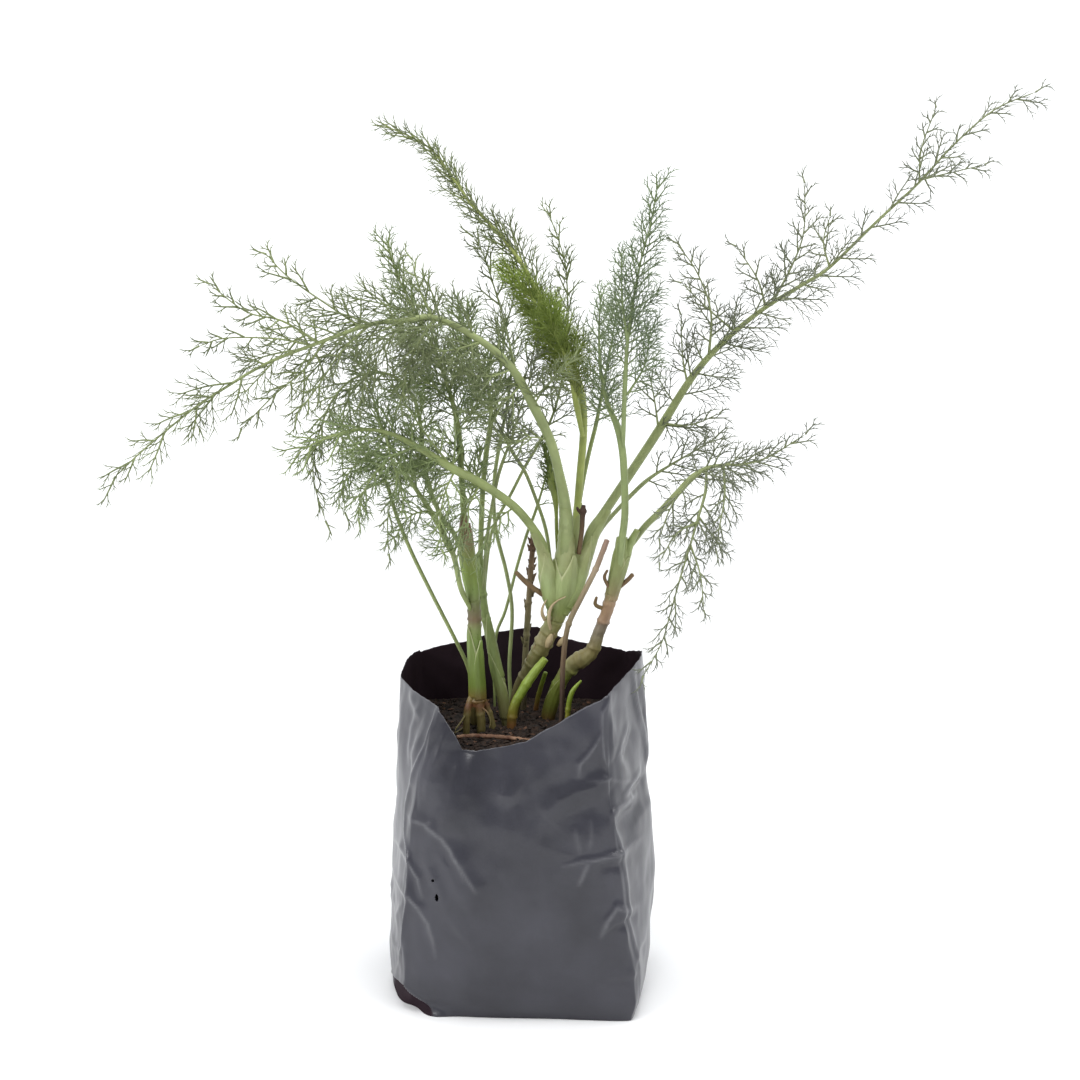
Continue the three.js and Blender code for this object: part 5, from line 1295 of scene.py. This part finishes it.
# %% Routes of the leaves
LEAVES = {
    "leaf_left_arch": leaf(11, "grey_green", AIRY, [
        rib(2.5, 8, 30, [[21, -3, 234], [23, -5, 253], [22, -8, 269], [19, -12, 286], [14.5, -17, 304],
            [6, -22, 323], [-4.5, -28, 343], [-19.5, -34, 358], [-42, -41, 371], [-56.5, -45, 370.5],
            [-74, -49, 369], [-98.5, -54, 361], [-124.5, -57, 351], [-146, -59, 338.5], [-160.5, -60, 329],
            [-185, -61, 309], [-200, -62, 295]], start=5, swell=1.2),
        rib(0.9, 2, 13, [[-43, -41, 371], [-49.5, -38, 384], [-54, -34, 400]]),
        rib(0.8, 3, 16, [[-78, -50, 368], [-89.5, -44, 374.5], [-113.5, -37, 390], [-125.5, -34, 402]]),
        rib(0.8, 4, 13, [[-98.5, -54, 361], [-115.5, -58, 372.5], [-132.5, -61, 377.5], [-150, -64, 392]]),
        rib(0.7, 3, 13, [[-102, -54.4, 360], [-120.5, -48, 362], [-145, -44, 361.5], [-159, -42, 357]]),
        rib(0.8, 3, 15, [[-95, -53.4, 362.5], [-106.5, -52, 347], [-121.5, -50, 334], [-139, -48, 316]]),
        rib(0.8, 3, 14, [[-74, -49, 369], [-88, -53, 356], [-99, -56, 340], [-110, -58, 326]]),
        rib(0.6, 3, 12, [[-4.5, -28, 343], [-15, -37, 341], [-28, -44, 344], [-40, -48, 352]]),
        rib(0.6, 3, 12, [[-19.5, -34, 358], [-31, -43, 356], [-44, -50, 355], [-57, -54, 349]]),
        rib(0.6, 4, 14, [[-42, -41, 371], [-50, -49, 360], [-56, -54, 346], [-59, -56, 330]]),
        rib(0.6, 4, 14, [[-56.5, -45, 370.5], [-66, -52, 360], [-75, -57, 345], [-79, -59, 328]]),
        rib(0.6, 3, 12, [[0, -25, 334], [-10, -33, 326], [-20, -38, 322], [-30, -41, 324]]),
        rib(0.6, 3, 12, [[6, -22, 323], [12, -27, 333], [19, -31, 341], [27, -33, 351]]),
        rib(0.6, 3, 12, [[14.5, -17, 304], [5, -23, 307], [-4, -27, 305], [-13, -29, 309]]),
    ]),
    "leaf_lower_left_arch": leaf(23, "deep_green", SPARSE, [
        rib(2.2, 5, 26, [[14, -3, 228], [12, -8, 243], [7.5, -13, 254], [-3.5, -21, 270], [-20.5, -31, 285],
            [-33, -38, 293.5], [-52.5, -47, 308], [-67, -52, 316], [-81.5, -56, 318], [-97.5, -59, 313.5],
            [-108.5, -60, 308]], start=5),
        rib(0.8, 3, 16, [[-34, -38, 294], [-45, -44, 310], [-57, -48, 329], [-66.5, -50, 344]]),
        rib(0.8, 3, 15, [[-52.5, -47, 308], [-67.5, -50, 300], [-77.5, -53, 287], [-81, -54, 272]]),
        rib(0.6, 3, 13, [[-33, -38, 293.5], [-38, -41, 283], [-41, -42, 268], [-40, -43, 253]]),
        rib(0.6, 3, 11, [[-3.5, -21, 270], [-11, -27, 266], [-18, -31, 258], [-22, -33, 246]]),
        rib(0.6, 3, 12, [[-20.5, -31, 285], [-27, -35, 273], [-31, -37, 258], [-33, -37, 243]]),
        rib(0.6, 3, 12, [[-67, -52, 316], [-64, -51, 302], [-60, -49, 288], [-58, -48, 273]]),
    ]),
    "leaf_young_tall": leaf(37, "lime_stalk", SWEPT, [
        rib(2, 9, 21, [[26.5, 3, 232], [28, 5, 251], [30, 8, 277], [32, 13, 302], [31, 16, 320],
            [25.5, 19, 337], [14.5, 23, 358], [2.5, 27, 383], [-9.5, 30, 400], [-25.5, 33, 416.5],
            [-35.5, 36, 430.5], [-49, 39, 446.5], [-71.5, 42, 457]], start=5, lean=0.6),
    ]),
    "young_leaf_cluster": leaf(41, "young", FULL, [
        rib(1.6, 7, 21, [[31.5, 9.4, 300], [28, 9.6, 318], [24, 12, 336], [17.5, 14, 352], [8, 16, 368],
            [-6, 19, 384]], start=1, lean=0.7),
    ]),
    "folded_young_leaf": leaf(43, "folded", FULL, [
        rib(1, 4, 7, [[18.5, 2, 236], [18, 2, 253], [17.5, 2, 267], [15.5, 1, 278], [14, 0, 288],
            [11.5, -1, 297]], start=2, bulge=1.8, lean=0.6),
    ]),
    "leaf_big_right": leaf(53, "olive", TWIGGY, [
        rib(2.4, 9, 24, [[31.5, 3, 233], [35.5, 6, 249], [43, 11, 259], [58, 19, 280], [71.5, 24, 300],
            [86.5, 28, 324], [97.5, 30, 338], [111, 32, 351], [127, 34, 363.5], [146, 36, 375],
            [160, 37, 384], [184.5, 39, 408], [205.5, 41, 427.5], [222, 42, 446], [243, 43, 464.5],
            [265, 43, 474]], start=4),
        rib(0.8, 2, 13, [[127, 34, 363.5], [122, 31, 379], [110, 28, 397]]),
        rib(0.9, 4, 15, [[130, 34, 365.5], [140, 38, 383.5], [146.5, 41, 402], [146.5, 43, 428]]),
        rib(0.9, 4, 14, [[97.5, 30, 338], [98, 26, 362], [90.5, 23, 383], [79, 21, 399.5]]),
        rib(0.8, 2, 12, [[111, 32, 351], [97, 40, 362], [83, 46, 375]]),
        rib(0.8, 2, 12, [[86.5, 28, 324], [84, 33, 338], [83, 38, 360]]),
        rib(0.7, 2, 12, [[160, 37, 384], [156, 33, 398], [159, 31, 412]]),
        rib(0.6, 3, 10, [[205.5, 41, 427.5], [205.5, 38, 445], [212, 35, 467]]),
        rib(0.6, 2, 10, [[207, 41.2, 429], [222, 45, 432], [241, 48, 436]]),
        rib(0.8, 2, 13, [[71.5, 24, 300], [69, 19, 317], [65.5, 16, 334]]),
        rib(0.8, 2, 12, [[73.5, 24.4, 303.5], [88.5, 20, 304], [103.5, 17, 311]]),
    ]),
    "leaf_back_right": leaf(61, "olive", TWIGGY, [
        rib(1.2, 3, 17, [[31, 6, 230], [40.5, 16, 247], [50, 25, 256.5], [65, 33, 270], [78.5, 38, 278],
            [91.5, 41, 285], [103, 43, 292]], start=3),
    ]),
    "leaf_back_middle": leaf(67, "deep_green", LUSH, [
        rib(1.2, 4, 17, [[25.5, 7.5, 231], [28.5, 13, 253], [32, 19, 274], [35.5, 23, 290], [39, 26, 304],
            [42.5, 28, 323], [47, 30, 347], [50, 31, 368]], start=4),
    ]),
    "leaf_right_upright": leaf(71, "fresh_green", BROAD, [
        rib(1.9, 4, 17, [[50.5, -6, 229], [51.5, -9, 247], [53, -10, 261.5], [53, -9, 273.5],
            [52.5, -8, 285.5], [51.5, -7, 297], [49, -5, 308.5], [44, -3, 320], [40.5, 0, 336],
            [39.5, 3, 357], [40.5, 5, 377]], start=6),
        rib(1.3, 6, 21, [[52, -7, 295.5], [52, -11, 313], [52.5, -13, 334], [53.5, -15, 355],
            [56, -16, 375], [59.5, -17, 395], [64, -18, 413], [68, -19, 436]], start=2),
        rib(0.8, 3, 13, [[53.5, -15, 355], [50.5, -20, 376], [49.5, -24, 403]]),
        rib(0.8, 2, 13, [[53.5, -13, 326.5], [62.5, -8, 341], [65, -5, 358]]),
    ]),
    "leaf_right_droop": leaf(83, "olive", TWIGGY, [
        rib(1.7, 5, 20, [[51.5, -1.5, 232], [54, 0, 240.5], [58, 1, 246], [64, -2, 255], [71.5, -6, 264],
            [80, -11, 275], [87, -15, 284], [94, -18, 289.5], [102.5, -21, 292], [112, -23, 293],
            [124.5, -25, 297], [144, -27, 310]], start=6),
        rib(0.9, 5, 15, [[94, -18, 289.5], [93.5, -23, 279], [90, -25, 266], [86, -26, 251.5],
            [81, -28, 234.5], [76, -30, 216], [71.5, -31, 200], [62, -31, 182]], start=1),
        rib(0.8, 3, 13, [[102.5, -21, 292], [103, -26, 277], [100.5, -29, 262], [98.5, -30, 250]]),
        rib(0.7, 2, 9, [[90, -25, 266], [97.5, -20, 255], [104, -17, 245]]),
        rib(0.7, 2, 10, [[86, -26, 251.5], [91, -31, 237], [93, -34, 218]]),
        rib(0.7, 2, 9, [[89, -25, 263], [78.5, -31, 258.5], [69.5, -35, 244]]),
        rib(0.8, 2, 12, [[87, -15, 284], [76.5, -19, 270], [70, -22, 253]]),
    ]),
    "leaf_left_upright": leaf(97, "deep_green", PLUME, [
        rib(1.6, 6, 25, [[-29, -6, 244], [-30, -5, 264], [-31, -4, 282], [-32.5, -3, 306], [-35.5, -2, 321],
            [-41, 0, 338], [-47.5, 2, 354], [-55.5, 4, 369], [-63, 5, 385], [-68.5, 6, 401]], start=3),
        rib(0.8, 3, 15, [[-37, -1, 326], [-29, 4, 346], [-26.5, 8, 369]]),
        rib(0.8, 2, 13, [[-41, 0, 338], [-54, -4, 350], [-65.5, -8, 365]]),
        rib(0.6, 3, 13, [[-32.5, -3, 306], [-24, -9, 319], [-18, -13, 334], [-15, -16, 349]]),
        rib(0.6, 3, 13, [[-35.5, -2, 321], [-46, -9, 331], [-55, -14, 335], [-63, -18, 331]]),
        rib(0.6, 3, 13, [[-31, -4, 282], [-41, -12, 292], [-50, -18, 296], [-58, -22, 291]]),
        rib(0.6, 3, 12, [[-30, -5, 264], [-25, -12, 277], [-22, -17, 290], [-21, -20, 302]]),
    ]),
    "leaf_left_second": leaf(101, "deep_green", SWEPT, [
        rib(1.5, 5, 21, [[-22, 5.5, 221], [-21.5, 7, 246], [-20.5, 10, 270], [-18.5, 13, 291],
            [-16, 16, 307.5], [-17, 19, 321], [-22, 22, 337], [-28, 24, 350], [-34, 26, 366]], start=4),
        rib(0.7, 2, 12, [[-17, 19, 321], [-10, 15, 339], [-9.5, 12, 359]]),
        rib(0.6, 3, 13, [[-20.5, 10, 270], [-27, 2, 284], [-34, -4, 298], [-43, -9, 308]]),
    ]),
    "leaf_left_outer": leaf(107, "deep_green", MASS, [
        rib(1.5, 5, 22, [[-26.5, -10, 212], [-31.5, -15, 225.5], [-34.5, -18, 242], [-39.5, -21, 255],
            [-46.5, -24, 269], [-55.5, -26, 284], [-63, -28, 298], [-70, -29, 314], [-74.5, -30, 330],
            [-79, -31, 345], [-85, -31, 358]], start=4),
        rib(0.8, 3, 13, [[-63, -28, 298], [-75, -32, 300], [-86, -35, 292], [-92, -36, 277]]),
        rib(0.7, 2, 11, [[-46.5, -24, 269], [-56.5, -28, 267], [-65, -30, 255]]),
        rib(0.6, 3, 13, [[-34.5, -18, 242], [-40, -26, 254], [-43, -30, 270], [-46, -33, 288]]),
        rib(0.6, 3, 14, [[-55.5, -26, 284], [-52, -32, 300], [-50, -36, 316], [-50, -38, 332]]),
    ]),
    "leaf_left_hanging": leaf(113, "grey_green", AIRY, [
        rib(1.3, 7, 17, [[-30, -9.5, 240], [-34.5, -12, 253], [-40.5, -13, 262], [-46, -12, 274],
            [-50, -11, 291], [-51, -12, 308], [-54.5, -14, 325], [-64, -18, 337], [-75.5, -21, 339.5],
            [-86, -24, 336], [-94.5, -26, 327], [-100, -27, 315], [-103.5, -28, 303], [-105, -28, 286],
            [-99, -28, 263]], start=4),
        rib(0.7, 3, 12, [[-75.5, -21, 339.5], [-88, -18, 325], [-91, -17, 304], [-90.5, -16, 264]]),
        rib(0.7, 3, 11, [[-50, -11, 291], [-62.5, -8, 281], [-69, -6, 262], [-69, -5, 240]]),
    ]),
    "leaf_left_slim": leaf(127, "deep_green", LUSH, [
        rib(1.1, 3, 13, [[-23, 8, 134], [-25, 3, 158], [-28.5, 1, 177], [-34.5, -1, 192], [-41.5, -2, 207],
            [-48, -3, 221], [-57, -4, 241], [-64.5, -3, 260], [-70.5, -1, 279], [-80.5, 1, 292],
            [-90.5, 2, 303], [-94, 2, 314]], start=8),
        rib(0.6, 2, 9, [[-70.5, -1, 279], [-82.5, -4, 273], [-83, -6, 260]]),
    ]),
    "leaf_thin_left": leaf(131, "grey_green", AIRY, [
        rib(1, 4, 16, [[15.5, 4, 231], [12.5, 9, 250], [7.5, 13, 265], [1.5, 15, 280], [-5, 17, 290],
            [-12.5, 20, 304], [-20, 27, 317], [-28.5, 32, 328]], start=4),
    ]),
    "leaf_thin_right": leaf(137, "olive", AIRY, [
        rib(1, 4, 16, [[-20.5, 2.5, 219], [-18, 0, 249], [-13.5, 3, 275], [-10.5, 5, 286], [-6, 7, 298],
            [-1, 8, 314], [4.5, 9, 331], [8, 10, 345]], start=3),
    ]),
    "leaf_back_top": leaf(139, "grey_green", SWEPT, [
        rib(0.9, 5, 15, [[-20.3, 5.5, 212], [-17.5, 14, 240], [-14, 18, 252], [-6, 22, 266], [1.5, 26, 280],
            [10, 30, 294], [17, 32, 309], [22, 34, 331], [24, 36, 353], [23.5, 38, 375], [21.5, 39, 390],
            [12, 41, 417]], start=5),
    ]),
    "leaf_back_left": leaf(149, "grey_green", AIRY, [
        rib(1.1, 5, 17, [[-5, 22, 133], [-6.5, 22, 157], [-7, 23, 173], [-5.5, 25, 201], [-8.5, 27, 222],
            [-14, 29, 245], [-15, 31, 269], [-11.5, 33, 293], [-7.5, 34, 314], [-5.5, 35, 334],
            [-8, 36, 351], [-15, 38, 375], [-19.5, 39, 389], [-25.5, 40, 400]], start=7),
        rib(0.6, 2, 12, [[-7.5, 34, 314], [4, 32, 333], [8.5, 30, 355]]),
    ]),
    "leaf_thin_back": leaf(151, "deep_green", LUSH, [
        rib(0.9, 2, 8, [[-15, 32, 133], [-15, 33, 180], [-9, 35, 199], [-2.5, 37, 224], [3, 38, 242],
            [7.5, 39, 254], [14, 41, 277], [16, 41, 291]], start=5),
    ]),
}

print("leaves:", len(LEAVES), "with", sum(len(data["ribs"]) for data in LEAVES.values()), "ribs")

# %% [markdown]
# Old leaves are grey-green with a pale rib; the young cluster in the middle is nearly yellow.
# One node group blends from rib to thread to tip by the mark on each point, lays patches of
# painted shade and light over the threads, and paints shade over a leaf's threads towards its foot.

# %% Leaf colours
BLACK = (0, 0, 0, 1)
frond_skin, given, made = new_group("frond_skin", {
    "Stalk shade": BLACK, "Stalk": BLACK, "Shade": BLACK, "Light": BLACK, "Tips": BLACK,
    "Fineness": 0.0, "Foot low": 0.0, "Foot high": 1.0}, {"Color": "Color"})
skin = use_group(frond_skin, mottle, (-700, 200), Patch_size=0.01, Contrast=0.4)
tone = use_group(frond_skin, mottle, (-700, -60), Patch_size=0.03, Contrast=0.5)
foot = use_group(frond_skin, height_share, (-700, -300))
green = add_node(frond_skin, "ShaderNodeMapRange", (-500, 300), {"From Min": 0.2, "From Max": 0.7})
end = add_node(frond_skin, "ShaderNodeMapRange", (-500, 60), {"From Min": 0.86, "To Max": 0.5})
# Painted shade: a leaf's threads turn dark olive towards its foot, fading out up to Foot high.
foot_shade_share = add_node(frond_skin, "ShaderNodeMath", (-500, -300), {1: -0.7, 2: 0.7}, operation="MULTIPLY_ADD")
painted_foot_shade = add_node(frond_skin, "ShaderNodeMix", (-300, -150), {7: (0.09, 0.085, 0.02, 1)}, data_type="RGBA")
leafy = add_node(frond_skin, "ShaderNodeMix", (-100, 200), data_type="RGBA")
tipped = add_node(frond_skin, "ShaderNodeMix", (100, 100), data_type="RGBA")
wire(frond_skin, (given, "Stalk shade", skin, "Dark"), (given, "Stalk", skin, "Light"),
     (given, "Shade", tone, "Dark"), (given, "Light", tone, "Light"), (given, "Fineness", green, "Value"),
     (given, "Fineness", end, "Value"), (given, "Foot low", foot, "Low"), (given, "Foot high", foot, "High"),
     (foot, "Share", foot_shade_share, 0), (foot_shade_share, 0, painted_foot_shade, 0), (tone, "Color", painted_foot_shade, 6), (green, 0, leafy, 0),
     (skin, "Color", leafy, 6), (painted_foot_shade, 2, leafy, 7), (end, 0, tipped, 0), (leafy, 2, tipped, 6),
     (given, "Tips", tipped, 7), (tipped, 2, made, "Color"))

# colours of stalk, thread in painted shade and light, and tips; heights in mm where foot shade fades
NO_FOOT_SHADE = (0, 0.01)
FROND_COLOURS = {
    "grey_green": ((0.32, 0.38, 0.15), (0.11, 0.135, 0.06), (0.22, 0.265, 0.115), (0.27, 0.3, 0.15)),
    "deep_green": ((0.29, 0.35, 0.12), (0.115, 0.16, 0.062), (0.26, 0.33, 0.13), (0.31, 0.37, 0.155)),
    "fresh_green": ((0.29, 0.36, 0.14), (0.105, 0.15, 0.075), (0.23, 0.3, 0.15), (0.27, 0.34, 0.18)),
    "olive": ((0.3, 0.35, 0.14), (0.11, 0.125, 0.085), (0.2, 0.22, 0.145), (0.25, 0.27, 0.19)),
    "lime_stalk": ((0.4, 0.46, 0.13), (0.11, 0.135, 0.06), (0.22, 0.265, 0.115), (0.27, 0.3, 0.15)),
    "young": ((0.4, 0.46, 0.12), (0.1, 0.13, 0.025), (0.3, 0.41, 0.065), (0.37, 0.49, 0.1), (326, 352)),
    "folded": ((0.25, 0.3, 0.06), (0.05, 0.08, 0.012), (0.12, 0.17, 0.03), (0.16, 0.21, 0.035)),
}


def leaf_finish(name, stalk, shade, light, tips, foot=NO_FOOT_SHADE):
    """The finish of one kind of leaf."""
    finish, tree, shader = new_finish(name, 0.5)
    fine = add_node(tree, "ShaderNodeAttribute", (-700, 100), attribute_name="fine")
    skin = use_group(tree, frond_skin, (-500, 100), Stalk_shade=(*(0.6 * c for c in stalk), 1),
                     Stalk=(*stalk, 1), Shade=(*shade, 1), Light=(*light, 1), Tips=(*tips, 1),
                     Foot_low=foot[0] * MM, Foot_high=foot[1] * MM)
    wire(tree, (fine, "Fac", skin, "Fineness"), (skin, "Color", shader, "Base Color"))
    add_relief(tree, shader, 0.0008, 0.0001, 0.2)
    return finish


finishes = {name: leaf_finish("frond_" + name, *colours) for name, colours in FROND_COLOURS.items()}
print("leaf finishes:", len(finishes))

# %% [markdown]
# Each leaf becomes one mesh that stands for its imported solid. The two youngest leaves are
# another green.

# %% Making the fronds
thinned = 1.0
for name, leaf_data in LEAVES.items():
    points, faces, fine = frond(leaf_data, thinned)
    piece = make_piece(name + "_threads", points, faces, finishes[leaf_data["colour"]], fine=fine)
    dress(piece, "young_frond" if leaf_data["colour"] in ("young", "folded") else "frond", name)

# %% [markdown]
# That is the whole plant. The dressed plant must keep the size of the imported one.

# %% End
print("plant done")
